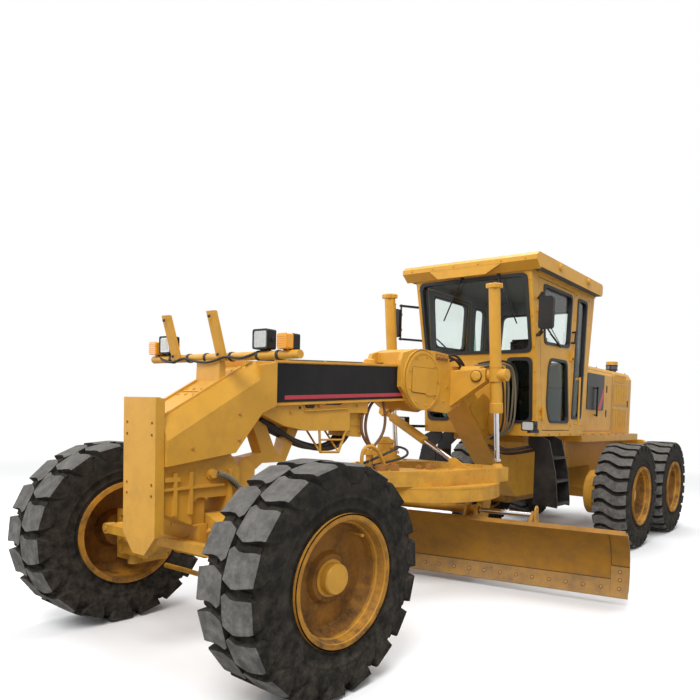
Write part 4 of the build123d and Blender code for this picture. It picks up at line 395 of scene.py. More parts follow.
# Mesh helpers
def link(name, mesh, key, body, smooth=False):
    """Adds a mesh as a piece with its finish, riding on a body if one is given."""
    made = bpy.data.objects.new(name, mesh)
    scene.collection.objects.link(made)
    mesh.materials.append(M[key])
    if smooth:
        mesh.polygons.foreach_set("use_smooth", [True] * len(mesh.polygons))
    if body:
        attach(made, body)
    return made


def piece(name, shape, key, body, smooth=False):
    mesh = bpy.data.meshes.new(name)
    bmesh.ops.recalc_face_normals(shape, faces=shape.faces[:])
    shape.to_mesh(mesh)
    shape.free()
    return link(name, mesh, key, body, smooth)


def across(direction):
    """Two unit vectors square to a direction."""
    along = Vector(direction).normalized()
    other = Vector((0, 0, 1)) if abs(along.z) < 0.9 else Vector((1, 0, 0))
    first = along.cross(other).normalized()
    return first, along.cross(first).normalized()


def prism(shape, outline, push):
    """Solid between an outline of 3-D corners and the same outline pushed along a vector."""
    push = Vector(push)
    low = [shape.verts.new(Vector(corner)) for corner in outline]
    high = [shape.verts.new(Vector(corner) + push) for corner in outline]
    shape.faces.new(low)
    shape.faces.new(list(reversed(high)))
    for k in range(len(low)):
        n = (k + 1) % len(low)
        shape.faces.new((low[k], low[n], high[n], high[k]))


def band(shape, outer, inner, push):
    """Flat ring between two outlines with as many corners, pushed along a vector into a solid."""
    push = Vector(push)
    rows = [[shape.verts.new(Vector(c)) for c in outer], [shape.verts.new(Vector(c) + push) for c in outer],
            [shape.verts.new(Vector(c) + push) for c in inner], [shape.verts.new(Vector(c)) for c in inner]]
    for row in range(4):
        first, second = rows[row], rows[(row + 1) % 4]
        for k in range(len(first)):
            n = (k + 1) % len(first)
            shape.faces.new((first[k], first[n], second[n], second[k]))


def box(shape, low, high):
    (x0, y0, z0), (x1, y1, z1) = low, high
    prism(shape, [(x0, y0, z0), (x1, y0, z0), (x1, y1, z0), (x0, y1, z0)], (0, 0, z1 - z0))


def disc(centre, direction, radius, sides, turn=0.0):
    """Corners of a regular outline, or the places of bolts, on a circle square to the direction."""
    first, second = across(direction)
    return [
        Vector(centre) + radius * (math.cos(a) * first + math.sin(a) * second)
        for a in (turn + 2 * math.pi * k / sides for k in range(sides))
    ]


def rod(shape, start, end, radius, sides=16):
    along = Vector(end) - Vector(start)
    prism(shape, disc(start, along, radius, sides), along)


def ring(shape, centre, direction, outer, inner, thick, sides=48):
    push = Vector(direction).normalized() * thick
    band(shape, disc(centre, direction, outer, sides), disc(centre, direction, inner, sides), push)


def lathe(shape, centre, direction, profile, sides=24):
    """Turned solid: the profile is (radius, distance along the direction) from one end to the other."""
    along = Vector(direction).normalized()
    rings = [
        [shape.verts.new(place + along * out) for place in disc(centre, direction, radius, sides)]
        for radius, out in profile
    ]
    for first, second in zip(rings, rings[1:]):
        for k in range(sides):
            n = (k + 1) % sides
            shape.faces.new((first[k], first[n], second[n], second[k]))
    shape.faces.new(rings[0])
    shape.faces.new(list(reversed(rings[-1])))


def hex_bolt(shape, place, direction, radius):
    """Hexagon head on its washer, standing on a surface that faces the direction."""
    along = Vector(direction).normalized()
    start = Vector(place) - along * 0.002
    prism(shape, disc(start, along, radius * 1.35, 14), along * (0.002 + radius * 0.22))
    prism(shape, disc(start, along, radius, 6, 0.3), along * (0.002 + radius * 0.95))


def bolts(name, places, direction, radius, key, body):
    shape = bmesh.new()
    for place in places:
        hex_bolt(shape, place, direction, radius)
    return piece(name, shape, key, body)


def tube(name, points, radius, key, body, order=3, round_steps=3):
    """Smooth tube through the control points of one NURBS line, as a mesh."""
    data = bpy.data.curves.new(name, "CURVE")
    data.dimensions = "3D"
    line = data.splines.new("NURBS")
    line.points.add(len(points) - 1)
    for slot, place in zip(line.points, points):
        slot.co = (*place, 1)
    line.order_u = order
    line.use_endpoint_u = True
    line.resolution_u = 6
    data.bevel_depth = radius
    data.bevel_resolution = round_steps
    data.use_fill_caps = True
    curve = bpy.data.objects.new(name, data)
    mesh = bpy.data.meshes.new_from_object(curve)
    bpy.data.objects.remove(curve)
    bpy.data.curves.remove(data)
    mesh.name = name
    return link(name, mesh, key, body, smooth=True)


def inset(points, amount):
    """Convex outline moved inwards by an amount, or outwards by a negative one."""
    middle = [sum(p[k] for p in points) / len(points) for k in (0, 1)]
    lines = []
    for (a0, b0), (a1, b1) in zip(points, points[1:] + points[:1]):
        long = math.hypot(a1 - a0, b1 - b0)
        na, nb = -(b1 - b0) / long, (a1 - a0) / long
        if (middle[0] - a0) * na + (middle[1] - b0) * nb < 0:
            na, nb = -na, -nb
        lines.append((na, nb, na * a0 + nb * b0 + amount))
    corners = []
    for (a0, b0, c0), (a1, b1, c1) in zip(lines[-1:] + lines[:-1], lines):
        det = a0 * b1 - a1 * b0
        corners.append(((c0 * b1 - c1 * b0) / det, (a0 * c1 - a1 * c0) / det))
    return corners


def rounded(points, radius, steps=5):
    """Outline with its corners replaced by curves that start a radius before each corner."""
    result = []
    for k, here in enumerate(points):
        before, after = points[k - 1], points[(k + 1) % len(points)]
        ends = []
        for other in (before, after):
            long = math.dist(here, other)
            share = min(radius, 0.45 * long) / long
            ends.append([here[j] + share * (other[j] - here[j]) for j in (0, 1)])
        for step in range(steps + 1):
            t = step / steps
            result.append(tuple(
                (1 - t) ** 2 * ends[0][j] + 2 * t * (1 - t) * here[j] + t**2 * ends[1][j] for j in (0, 1)
            ))
    return result


def seal(shape, outline, radius, inner, outer, place, push):
    """Rubber round a window: place(a, b) turns an outline's corner into a point in the model."""
    rings = [[place(*c) for c in rounded(inset(outline, amount), radius)] for amount in (-outer, inner)]
    band(shape, rings[0], rings[1], push)


# Tyres: a rounded carcass with deep lugs, half of it listed from the crown to the bead
CARCASS = (
    # out from the middle, radius
    (0.0, 0.612), (0.10, 0.612), (0.150, 0.608), (0.180, 0.596), (0.198, 0.575), (0.208, 0.545), (0.2115, 0.510),
    (0.2105, 0.478), (0.2090, 0.462), (0.2110, 0.458), (0.2110, 0.454), (0.2070, 0.450), (0.2030, 0.425),
    (0.1985, 0.404), (0.2010, 0.400), (0.2005, 0.395), (0.1950, 0.389), (0.1900, 0.378), (0.1920, 0.3725),
    (0.1850, 0.3460), (0.1700, 0.3455),
)


def wheel_frame(sign, station):
    """Turns a wheel's own place (out, radius, angle) into a point; right wheels are left ones turned about."""
    def place(out, radius, angle):
        return Vector((
            sign * (WHEEL_X + out),
            Y(station) + sign * radius * math.sin(angle),
            WHEEL_Z + radius * math.cos(angle),
        ))
    return place


def grid(shape, rows, closed_rows=False, closed_columns=False):
    """Faces between rows of points that have as many points each."""
    verts = [[shape.verts.new(point) for point in row] for row in rows]
    count, long = len(verts), len(verts[0])
    for k in range(count if closed_rows else count - 1):
        first, second = verts[k], verts[(k + 1) % count]
        for j in range(long if closed_columns else long - 1):
            n = (j + 1) % long
            shape.faces.new((first[j], first[n], second[n], second[j]))
    return verts


def lug(shape, place, middle, stations):
    """One lug: each station is out, radius of its top, front and back edge as metres along the tread, and its root."""
    rows = []
    for out, radius, front, back, root_out, root_radius in stations:
        a, b = middle + front / TREAD_R, middle + back / TREAD_R
        soft = 0.010 / TREAD_R
        rows.append([place(root_out, root_radius, a - soft), place(out, radius, a), place(out, radius, b),
                     place(root_out, root_radius, b + soft)])
    verts = grid(shape, rows, closed_columns=True)
    shape.faces.new(verts[0])
    shape.faces.new(list(reversed(verts[-1])))


FRONT_LUG = (
    # out, radius, front edge, back edge, root's out, root's radius
    (0.004, 0.6460, -0.066, 0.078, 0.004, 0.600),
    (0.030, 0.6460, -0.080, 0.098, 0.030, 0.600),
    (0.074, 0.6460, -0.101, 0.078, 0.074, 0.600),
    (0.110, 0.6458, -0.097, 0.076, 0.110, 0.600),
    (0.160, 0.6448, -0.086, 0.083, 0.155, 0.595),
    (0.190, 0.6420, -0.080, 0.086, 0.175, 0.585),
    (0.2085, 0.6300, -0.076, 0.084, 0.180, 0.575),
    (0.2118, 0.5950, -0.068, 0.076, 0.190, 0.560),
    (0.2118, 0.5600, -0.052, 0.060, 0.195, 0.545),
    (0.2112, 0.5350, -0.034, 0.042, 0.200, 0.530),
)
TIE_BAR = (
    (0.090, 0.6200, 0.080, 0.125, 0.090, 0.600),
    (0.150, 0.6180, 0.085, 0.120, 0.150, 0.595),
    (0.180, 0.6080, 0.088, 0.118, 0.170, 0.585),
)
REAR_WAVE = (
    # out, front edge, back edge of one bar across the whole tread
    (-0.2085, -0.062, 0.050), (-0.190, -0.062, 0.054), (-0.120, -0.032, 0.082), (-0.060, -0.040, 0.074),
    (-0.020, -0.066, 0.050), (0.020, -0.084, 0.028), (0.060, -0.106, 0.008), (0.120, -0.110, 0.004),
    (0.190, -0.096, 0.018), (0.2085, -0.092, 0.022),
)


def turned_about(stations):
    """The same lug on the tyre's other half."""
    return [(-out, radius, -back, -front, -root, low) for out, radius, front, back, root, low in stations]


def rear_bar():
    """Stations of one wavy bar, from the foot of one shoulder over the tread to the other."""
    bar = []
    for out, front, back in REAR_WAVE:
        steep = abs(out) > 0.2
        inner = math.copysign(min(abs(out), 0.178), out)
        top = 0.6300 if steep else 0.6460 if abs(out) < 0.15 else 0.6415
        bar.append((out, top, front, back, inner, 0.600 if abs(out) < 0.15 else 0.585))
    feet = []
    for side, middle in ((-1, -0.006), (1, -0.035)):
        feet.append([
            (side * 0.2118, radius, middle - half, middle + half, side * 0.195, radius - 0.03)
            for radius, half in ((0.590, 0.050), (0.552, 0.034))
        ])
    return feet[0][::-1] + bar + feet[1]


def add_tyre(row, side, sign, station):
    """Carcass and lugs of one wheel, with the paler worn tops of the lugs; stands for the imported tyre."""
    place = wheel_frame(sign, station)
    shape = bmesh.new()
    whole = [(-out, radius) for out, radius in reversed(CARCASS[1:])] + list(CARCASS)
    around = 120
    grid(shape, [[place(out, radius, 2 * math.pi * k / around) for out, radius in whole] for k in range(around)],
         closed_rows=True, closed_columns=True)
    carcass_faces = len(shape.faces)
    if row == "front":
        lugs = [(18, 0.25, FRONT_LUG), (18, 0.25, TIE_BAR), (18, 0.75, turned_about(FRONT_LUG)),
                (18, 0.75, turned_about(TIE_BAR))]
    else:
        lugs = [(25, 0.0, rear_bar())]
    for count, turn, stations in lugs:
        for number in range(count):
            lug(shape, place, 2 * math.pi * (number + turn) / count, stations)
    made = piece(f"{row}_tread_{side}", shape, "rubber", f"{row}_wheel_{side}")
    made.data.materials.append(M["tread"])
    centre = Vector((0, Y(station), WHEEL_Z))
    for number, face in enumerate(made.data.polygons):
        face.use_smooth = number < carcass_faces
        here = face.center - centre
        here.x = 0
        if here.length > 0.625 and face.normal.dot(here.normalized()) > 0.6:
            face.material_index = 1
    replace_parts(made, f"{row}_tyre_{side}")


RIM_RINGS = (
    # outer and inner radius, out from the middle, thickness
    (0.3705, 0.362, 0.2135, 0.008), (0.357, 0.349, 0.2125, 0.007), (0.340, 0.333, 0.2090, 0.010),
    (0.326, 0.316, 0.158, 0.014), (0.300, 0.286, 0.076, 0.014),
)
HUB_CAP = [(0.104, 0.085), (0.104, 0.096), (0.088, 0.098), (0.0865, 0.140), (0.080, 0.149), (0.030, 0.1515)]


def add_rim_rings(name, body, sign, station, cap_out):
    """Lock rings at the bead, weld round the disc, a flange under the hub cap, and the valve."""
    shape = bmesh.new()
    axle = (sign, 0, 0)
    for radius, inner, out, thick in RIM_RINGS:
        centre = (sign * (WHEEL_X + out - thick), Y(station), WHEEL_Z)
        ring(shape, centre, axle, radius, inner, thick + 0.0015, 96)
    place = wheel_frame(sign, station)
    rod(shape, place(0.08, 0.285, 0.6), place(0.17, 0.275, 0.6), 0.006, 10)
    rod(shape, place(0.17, 0.275, 0.6), place(0.185, 0.2735, 0.6), 0.009, 10)
    piece(f"{name}_rim_rings", shape, "yellow_low", body)
    shape = bmesh.new()
    centre = (sign * (WHEEL_X + cap_out - 0.150), Y(station), WHEEL_Z)
    lathe(shape, centre, axle, HUB_CAP, 40)
    piece(f"{name}_hub_cap", shape, "yellow", body)


for name, body, sign, station in WHEELS:
    row, side = name.split("_")
    add_tyre(row, side, sign, station)
    add_rim_rings(name, body, sign, station, 0.15 if row == "front" else 0.11)


# Cab: rubber round the windows, wipers, rails, lamps and the seat
def windscreen_place(x, z):
    """Point on the outer face of the cab's front wall."""
    slope = CAB_SLOPE_HIGH if z > SILL_Z else CAB_SLOPE_LOW
    return Vector((x, Y(SILL_S - slope * (z - SILL_Z)), z))


def back_wall_place(x, z):
    return Vector((x, Y(4.660 + 0.220 / 1.669 * (z - 1.38)), z))


def side_place(x):
    """Turns a station and a height into a point on the cab's side."""
    return lambda station, height: Vector((x, Y(station), height))


def oblong(x, z, wide, high):
    return [(x - wide / 2, z - high / 2), (x + wide / 2, z - high / 2), (x + wide / 2, z + high / 2),
            (x - wide / 2, z + high / 2)]


# Windows: middle across and up, width, height; those on the sides are outlines of (station, height)
FRONT_WINDOWS = ((0, 2.626, 1.310, 0.758), (-0.512, 1.852, 0.285, 0.665), (0.512, 1.852, 0.285, 0.665))
REAR_WINDOW = (0, 2.42, 1.08, 0.96)
DOOR_WINDOWS = (
    ((3.458, 2.945), (3.524, 2.350), (4.168, 2.372), (4.208, 2.950)),
    ((3.686, 2.205), (3.640, 2.110), (3.626, 1.700), (3.712, 1.530), (4.218, 1.530), (4.122, 2.212)),
)
REAR_SIDE_WINDOW = ((4.379, 2.950), (4.312, 1.580), (4.583, 1.580), (4.648, 2.950))


def add_window_rubber():
    shape = bmesh.new()
    for window in FRONT_WINDOWS:
        place = lambda x, z: windscreen_place(x, z) + Vector((0, -0.012, 0))
        seal(shape, oblong(*window), 0.07, 0.024, 0.010, place, (0, 0.055, 0))
    place = lambda x, z: back_wall_place(x, z) + Vector((0, 0.012, 0))
    seal(shape, oblong(*REAR_WINDOW), 0.07, 0.024, 0.010, place, (0, -0.055, 0))
    for sign in (-1, 1):
        seal(shape, list(REAR_SIDE_WINDOW), 0.06, 0.020, 0.010, side_place(sign * RUBBER_X), (-sign * 0.05, 0, 0))
    piece("window_rubber", shape, "seal", "front_frame")
    for side, sign in (("left", 1), ("right", -1)):
        shape = bmesh.new()
        for outline in DOOR_WINDOWS:
            seal(shape, list(outline), 0.07, 0.020, 0.010, side_place(sign * RUBBER_X), (-sign * 0.05, 0, 0))
        piece(f"door_rubber_{side}", shape, "seal", f"door_{side}")
        # Hand grip and lock
        shape = bmesh.new()
        for station, height in ((4.225, 2.43), (4.236, 2.55)):
            rod(shape, (sign * CAB_SIDE_X, Y(station), height), (sign * 0.760, Y(station), height), 0.011)
        rod(shape, (sign * 0.756, Y(4.224), 2.418), (sign * 0.756, Y(4.237), 2.562), 0.012)
        ring(shape, (sign * 0.737, Y(4.228), 2.25), (sign, 0, 0), 0.016, 0.006, 0.006, 24)
        piece(f"door_grip_{side}", shape, "black", f"door_{side}")


def add_wiper(name, pivot, tip, out, body):
    """Wiper: pivot boss, sprung arm and a blade that lies across the arm's end."""
    pivot, tip, out = Vector(pivot), Vector(tip), Vector(out).normalized()
    lift = out * 0.022
    along = (tip - pivot).normalized()
    shape = bmesh.new()
    rod(shape, pivot - out * 0.004, pivot + out * 0.026, 0.014)
    rod(shape, pivot + lift, tip + lift, 0.0045, 8)
    rod(shape, pivot + lift + along * 0.03, pivot + lift + along * 0.13, 0.009, 8)
    side = out.cross(along)
    start = tip + lift * 0.55 - along * 0.16
    end = tip + lift * 0.55 + along * 0.14
    prism(shape, [start - side * 0.006, start + side * 0.006, end + side * 0.004, end - side * 0.004], out * 0.012)
    prism(shape, [start - side * 0.0015, start + side * 0.0015, end + side * 0.0015, end - side * 0.0015],
          -out * 0.008)
    piece(name, shape, "black", body)


def add_wipers():
    out = Vector((0, -1, -0.20))
    add_wiper("windscreen_wiper_left", windscreen_place(0.34, 3.02), windscreen_place(0.47, 2.66), out, "front_frame")
    add_wiper("windscreen_wiper_right", windscreen_place(-0.10, 3.02), windscreen_place(-0.30, 2.72), out,
              "front_frame")
    for side, sign in (("left", 1), ("right", -1)):
        add_wiper(f"door_wiper_{side}", (sign * 0.711, Y(3.49), 2.52), (sign * 0.711, Y(3.78), 2.40), (sign, 0, 0),
                  f"door_{side}")
    add_wiper("rear_wiper", back_wall_place(0, 2.95), back_wall_place(0.22, 2.62), (0, 1, 0.13), "front_frame")


def add_cab_trim():
    """Gutters, domes and bolts on the cab, with the mat, pedals, levers and dials inside."""
    shape = bmesh.new()
    for sign in (-1, 1):
        gutter = oblong((3.30 + 4.86) / 2, 3.044, 4.86 - 3.30, 0.012)
        prism(shape, [(sign * CAB_SIDE_X, Y(s), z) for s, z in gutter], (sign * 0.02, 0, 0))
        # Bracket domes on the roof's side
        for station in (3.61, 4.39):
            rod(shape, (sign * 0.815, Y(station), 3.135), (sign * 0.836, Y(station), 3.135), 0.036, 24)
            rod(shape, (sign * 0.834, Y(station), 3.135), (sign * 0.842, Y(station), 3.135), 0.020, 20)
    # Edge rib round the roof's top
    for x0, y0, x1, y1 in ((-0.80, 3.125, 0.80, 3.137), (-0.80, 4.795, 0.80, 4.807), (-0.806, 3.125, -0.794, 4.807),
                           (0.794, 3.125, 0.806, 4.807)):
        box(shape, (x0, Y(y0), 3.181), (x1, Y(y1), 3.1878))
    piece("roof_trim", shape, "yellow", "front_frame")
    shape = bmesh.new()
    for sign in (-1, 1):
        for station in (3.72, 4.0, 4.3, 4.6):
            hex_bolt(shape, (sign * CAB_SIDE_X, Y(station), 1.405), (sign, 0, 0), 0.011)
        for height in (1.5, 2.1, 2.7, 2.98):
            hex_bolt(shape, (sign * 0.710, Y(4.30 if height < 2.9 else 4.32), height), (sign, 0, 0), 0.008)
            hex_bolt(shape, (sign * 0.710, Y(4.615 + 0.07 * (height - 1.5)), height), (sign, 0, 0), 0.008)
        for height in (1.45, 1.75, 2.05, 2.30, 2.60, 2.95):
            hex_bolt(shape, windscreen_place(sign * 0.685, height), (0, -1, 0), 0.008)
        for x in (0.15, 0.42, 0.69):
            hex_bolt(shape, (sign * x, Y(3.0605), 3.128), (0, -1, 0), 0.009)
    piece("cab_bolts", shape, "yellow", "front_frame")
    shape = bmesh.new()
    box(shape, (-0.62, Y(3.50), FLOOR_TOP), (0.62, Y(4.58), 1.437))
    for row in range(14):
        box(shape, (-0.6, Y(3.53 + 0.073 * row), 1.436), (0.6, Y(3.55 + 0.073 * row), 1.440))
    piece("floor_mat", shape, "seal", "front_frame")
    shape = bmesh.new()
    # Pedals, dials and lever knobs at the column
    for x in (-0.17, 0.17):
        prism(shape, [(x - 0.045, Y(3.56), 1.50), (x + 0.045, Y(3.56), 1.50), (x + 0.045, Y(3.59), 1.62),
                      (x - 0.045, Y(3.59), 1.62)], (0, 0.014, 0))
        rod(shape, (x, Y(3.58), 1.437), (x, Y(3.585), 1.56), 0.010, 10)
    for sign in (-1, 1):
        for number in range(5):
            x = sign * (0.095 + 0.044 * number)
            rod(shape, (x, Y(3.72), 2.0), (x, Y(3.735), 2.17), 0.006, 8)
            rod(shape, (x, Y(3.735), 2.165), (x, Y(3.738), 2.20), 0.014, 12)
    box(shape, (-0.10, Y(3.62), 2.06), (0.10, Y(3.66), 2.17))
    piece("cab_controls", shape, "plastic", "front_frame")
    shape = bmesh.new()
    for x in (-0.055, 0.0, 0.055):
        ring(shape, (x, Y(3.660), 2.12), (0, 1, 0), 0.024, 0.020, 0.006, 28)
        rod(shape, (x, Y(3.659), 2.12), (x, Y(3.662), 2.12), 0.020, 28)
    piece("dials", shape, "chrome", "front_frame")


def add_mirror_faces():
    """Silvered faces that look back, and the bolts and clamps of the arms."""
    shape = bmesh.new()
    for sign in (-1, 1):
        outline = rounded(oblong(sign * 0.930, 2.585, 0.126, 0.286), 0.03)
        prism(shape, [(x, Y(3.1055), z) for x, z in outline], (0, 0.0022, 0))
    piece("mirror_glass", shape, "mirror", "front_frame")
    shape = bmesh.new()
    for sign in (-1, 1):
        for height in (2.41, 2.78):
            for station in (3.335, 3.350):
                hex_bolt(shape, (sign * 0.7395, Y(station), height), (sign, 0, 0), 0.006)
        for height in (2.50, 2.67):
            ring(shape, (sign * 0.868, Y(3.112), height), (0, 0, 1), 0.016, 0.0102, 0.024, 20)
    piece("mirror_clamps", shape, "steel", "front_frame")


def swollen(name, outline, x_half, body, cap):
    """Cushion: a side outline of (station, height) drawn across, blown up a little and softened."""
    shape = bmesh.new()
    prism(shape, [(-x_half, Y(s), z) for s, z in outline], (2 * x_half, 0, 0))
    made = piece(name, shape, "fabric", body)
    bpy.context.view_layer.objects.active = made
    remesh = made.modifiers.new("remesh", "REMESH")
    remesh.mode = "VOXEL"
    remesh.voxel_size = 0.011
    bpy.ops.object.select_all(action="DESELECT")
    made.select_set(True)
    bpy.ops.object.modifier_apply(modifier="remesh")
    start = [v.co.copy() for v in made.data.vertices]
    cloth = made.modifiers.new("cloth", "CLOTH")
    cloth.settings.use_pressure = True
    cloth.settings.uniform_pressure_force = 4
    cloth.settings.quality = 4
    cloth.settings.effector_weights.gravity = 0
    cloth.point_cache.frame_start, cloth.point_cache.frame_end = 1, 20
    for number in range(1, 21):
        scene.frame_set(number)
    bpy.ops.object.modifier_apply(modifier="cloth")
    scene.frame_set(1)
    for vertex, rest in zip(made.data.vertices, start):
        moved = vertex.co - rest
        if moved.length > cap:
            vertex.co = rest + moved.normalized() * cap
    return made


def press_seams(made, lines, depth, reach):
    """Sewn channels: points near a plane (point, normal) sink along their own normals."""
    mesh = made.data
    pushes = []
    for vertex in mesh.vertices:
        amount = 0
        for place, normal in lines:
            away = abs((vertex.co - Vector(place)).dot(Vector(normal)))
            if away < reach:
                amount = max(amount, depth * (1 - away / reach) ** 0.7)
        pushes.append(vertex.normal * -amount)
    for vertex, push in zip(mesh.vertices, pushes):
        vertex.co += push
    mesh.polygons.foreach_set("use_smooth", [True] * len(mesh.polygons))
    soft = made.modifiers.new("soft", "SUBSURF")
    soft.levels = soft.render_levels = 1


def add_seat():
    """Seat cushion, back and arm rests on their pan and bellows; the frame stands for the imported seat."""
    cushion = swollen("seat_cushion", ((3.975, 1.815), (3.985, 1.865), (4.02, 1.895), (4.38, 1.878), (4.40, 1.80)),
                      0.232, "front_frame", 0.022)
    lengthways = [((x, 0, 0), (1, 0, 0)) for x in (-0.13, 0.0, 0.13)]
    press_seams(cushion, lengthways + [((0, Y(4.08), 0), (0, 1, 0)), ((0, Y(4.28), 0), (0, 1, 0))], 0.009, 0.016)
    back = swollen("seat_back", ((4.425, 1.93), (4.505, 2.535), (4.57, 2.535), (4.485, 1.93)), 0.232, "front_frame",
                   0.022)
    press_seams(back, lengthways + [((0, 0, z), (0, 0, 1)) for z in (2.05, 2.30)], 0.009, 0.016)
    for side, sign in (("left", 1), ("right", -1)):
        shape = bmesh.new()
        outline = rounded([(4.135, 2.022), (4.445, 2.022), (4.445, 2.078), (4.135, 2.078)], 0.03)
        prism(shape, [(sign * 0.270, Y(s), z) for s, z in outline], (sign * 0.060, 0, 0))
        made = piece(f"arm_rest_{side}", shape, "fabric", "front_frame")
        soft = made.modifiers.new("edge", "BEVEL")
        soft.width = 0.012
        soft.segments = 3
    shape = bmesh.new()
    # Pan, suspension box and recliner plates under the cushions
    box(shape, (-0.21, Y(4.02), FLOOR_TOP), (0.21, Y(4.44), 1.50))
    for fold in range(5):
        half = 0.190 if fold % 2 else 0.205
        box(shape, (-half, Y(4.23 - half), 1.50 + 0.05 * fold), (half, Y(4.23 + half), 1.55 + 0.05 * fold))
    box(shape, (-0.22, Y(4.00), 1.75), (0.22, Y(4.45), 1.79))
    prism(shape, [(-0.245, Y(3.972), 1.790), (-0.245, Y(4.47), 1.790), (-0.245, Y(4.47), 1.812),
                  (-0.245, Y(3.972), 1.812)], (0.49, 0, 0))
    prism(shape, [(-0.236, Y(4.489), 1.80), (-0.236, Y(4.580), 2.548), (-0.236, Y(4.589), 2.548),
                  (-0.236, Y(4.500), 1.80)], (0.472, 0, 0))
    for sign in (-1, 1):
        prism(shape, [(sign * 0.240, Y(4.372), 1.872), (sign * 0.240, Y(4.428), 1.872), (sign * 0.240, Y(4.428), 2.03),
                      (sign * 0.240, Y(4.372), 2.03)], (sign * 0.058, 0, 0))
    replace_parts(piece("seat_frame", shape, "plastic", "front_frame"), "seat")


add_window_rubber()
add_wipers()
add_cab_trim()
add_mirror_faces()
add_seat()


def front_plate(shape, centre, wide, high, radius, deep, inner=None):
    """Rounded plate that faces the front; with inner it is a frame that wide."""
    def outline(less):
        corners = rounded(oblong(centre[0], centre[2], wide - 2 * less, high - 2 * less), radius)
        return [(x, centre[1], z) for x, z in corners]

    if inner:
        band(shape, outline(0), outline(inner), (0, deep, 0))
    else:
        prism(shape, outline(0), (0, deep, 0))


def side_plate(shape, x, outline, thick, radius=0.0, sign=1):
    """Plate on a side wall; its outline is (station, height), and sign is the side that it faces."""
    corners = rounded(outline, radius) if radius else outline
    prism(shape, [(sign * x, Y(s), z) for s, z in corners], (sign * thick, 0, 0))


def side_frame(shape, x, outline, wide, thick, radius, sign=1):
    """Raised frame on a side wall, inside an outline of (station, height)."""
    rings = [[(sign * x, Y(s), z) for s, z in rounded(inset(outline, amount), radius)] for amount in (0, wide)]
    band(shape, rings[0], rings[1], (sign * thick, 0, 0))


def lie(*places):
    """Control points from (across, station, height)."""
    return [(x, Y(s), z) for x, s, z in places]


def both_sides(name, key, body, make):
    """One piece with the same detail on the left and on the right."""
    shape = bmesh.new()
    for sign in (1, -1):
        make(shape, sign)
    return piece(name, shape, key, body)


# Beam: blank dark panels with their stripe, the edge strips and the dome on top
BEAM_SLOPE = math.tan(math.radians(3.6))


def beam(x, station, height):
    """Point on the beam at a height above its lower edge."""
    return (x, Y(station), 1.592 + BEAM_SLOPE * (station - 0.43) + height)


def beam_strip(shape, sign, start, end, low, high, thick):
    """Flat strip on the beam's side, between two stations and two heights."""
    x = sign * BEAM_X
    outline = [beam(x, start, low), beam(x, end, low), beam(x, end, high), beam(x, start, high)]
    prism(shape, outline, (sign * thick, 0, 0))


def add_beam_trim():
    for name, key, extent in (("beam_panels", "panel", (0.436, 2.01, 0.022, 0.293, 0.004)),
                              ("beam_stripes", "stripe", (0.53, 1.965, 0.040, 0.069, 0.0055))):
        both_sides(name, key, "front_frame", lambda shape, sign: beam_strip(shape, sign, *extent))
    strips = bmesh.new()
    for sign in (1, -1):
        beam_strip(strips, sign, 0.436, 2.05, 0.0, 0.016, 0.012)
        beam_strip(strips, sign, 0.436, 2.05, 0.299, 0.315, 0.012)
        beam_strip(strips, sign, 2.016, 2.05, 0.016, 0.299, 0.006)
    x, y, z = beam(0.04, 1.55, 0.315)
    lathe(strips, (x, y, z - 0.002), (0, 0, 1), [(0.062, 0), (0.062, 0.010), (0.046, 0.012), (0.046, 0.034),
                                                 (0.036, 0.044), (0.015, 0.047)])
    # Clips that hold the pipe along the top
    for station in (0.75, 1.15, 1.95):
        x, y, z = beam(-0.09, station, 0.315)
        box(strips, (x - 0.02, y - 0.012, z - 0.002), (x + 0.02, y + 0.012, z + 0.016))
    piece("beam_strips", strips, "yellow", "front_frame")
    tube("beam_top_pipe", [beam(-0.09, s, 0.327) for s in (0.5, 0.9, 1.3, 1.7, 1.98)], 0.010, "steel", "front_frame")


# Nose: hatch plates between two rails on the slope, and hatch and side bolts
SLOPE_ALONG = Vector((0, 0.58, 0.35)).normalized()
SLOPE_OUT = Vector((0, -0.35, 0.58)).normalized()


def on_slope(x, run):
    """Point on the nose's sloping top, a distance behind its front edge."""
    return Vector((x, Y(-0.380), 1.490)) + SLOPE_ALONG * run


def slope_plate(shape, x0, x1, start, end, thick):
    corners = [on_slope(x0, start), on_slope(x1, start), on_slope(x1, end), on_slope(x0, end)]
    prism(shape, [c - SLOPE_OUT * 0.001 for c in corners], SLOPE_OUT * (thick + 0.001))


def add_nose_trim():
    shape = bmesh.new()
    for sign in (1, -1):
        slope_plate(shape, sign * 0.112, sign * 0.132, 0.01, 0.66, 0.016)
    slope_plate(shape, -0.100, 0.100, 0.03, 0.31, 0.006)
    slope_plate(shape, -0.100, 0.100, 0.33, 0.64, 0.006)
    piece("nose_hatches", shape, "yellow", "front_frame")
    places = [on_slope(x, run) + SLOPE_OUT * 0.006 for run in (0.055, 0.285, 0.355, 0.615) for x in (-0.08, 0.0, 0.08)]
    bolts("hatch_bolts", places, SLOPE_OUT, 0.008, "yellow_low", "front_frame")
    shape = bmesh.new()
    for sign in (1, -1):
        for station, z in ((0.125, 1.532), (0.124, 1.364), (-0.215, 1.318)):
            hex_bolt(shape, (sign * NOSE_X, Y(station), z), (sign, 0, 0), 0.009)
    piece("nose_bolts", shape, "bolt", "front_frame")
    # Black discs set just behind the push plate's holes: painted shade inside the holes
    shape = bmesh.new()
    for x in (-0.130, 0.130):
        for z in (1.462, 1.392, 1.100, 1.035):
            prism(shape, disc((x, Y(-0.4105), z), (0, 1, 0), 0.015, 14), (0, 0.003, 0))
    piece("push_plate_hole_painted_shade", shape, "black", "front_frame")


# Cover under the beam: its recess, slot, ledge and bolts, and the wire step below
COVER_X = 0.138


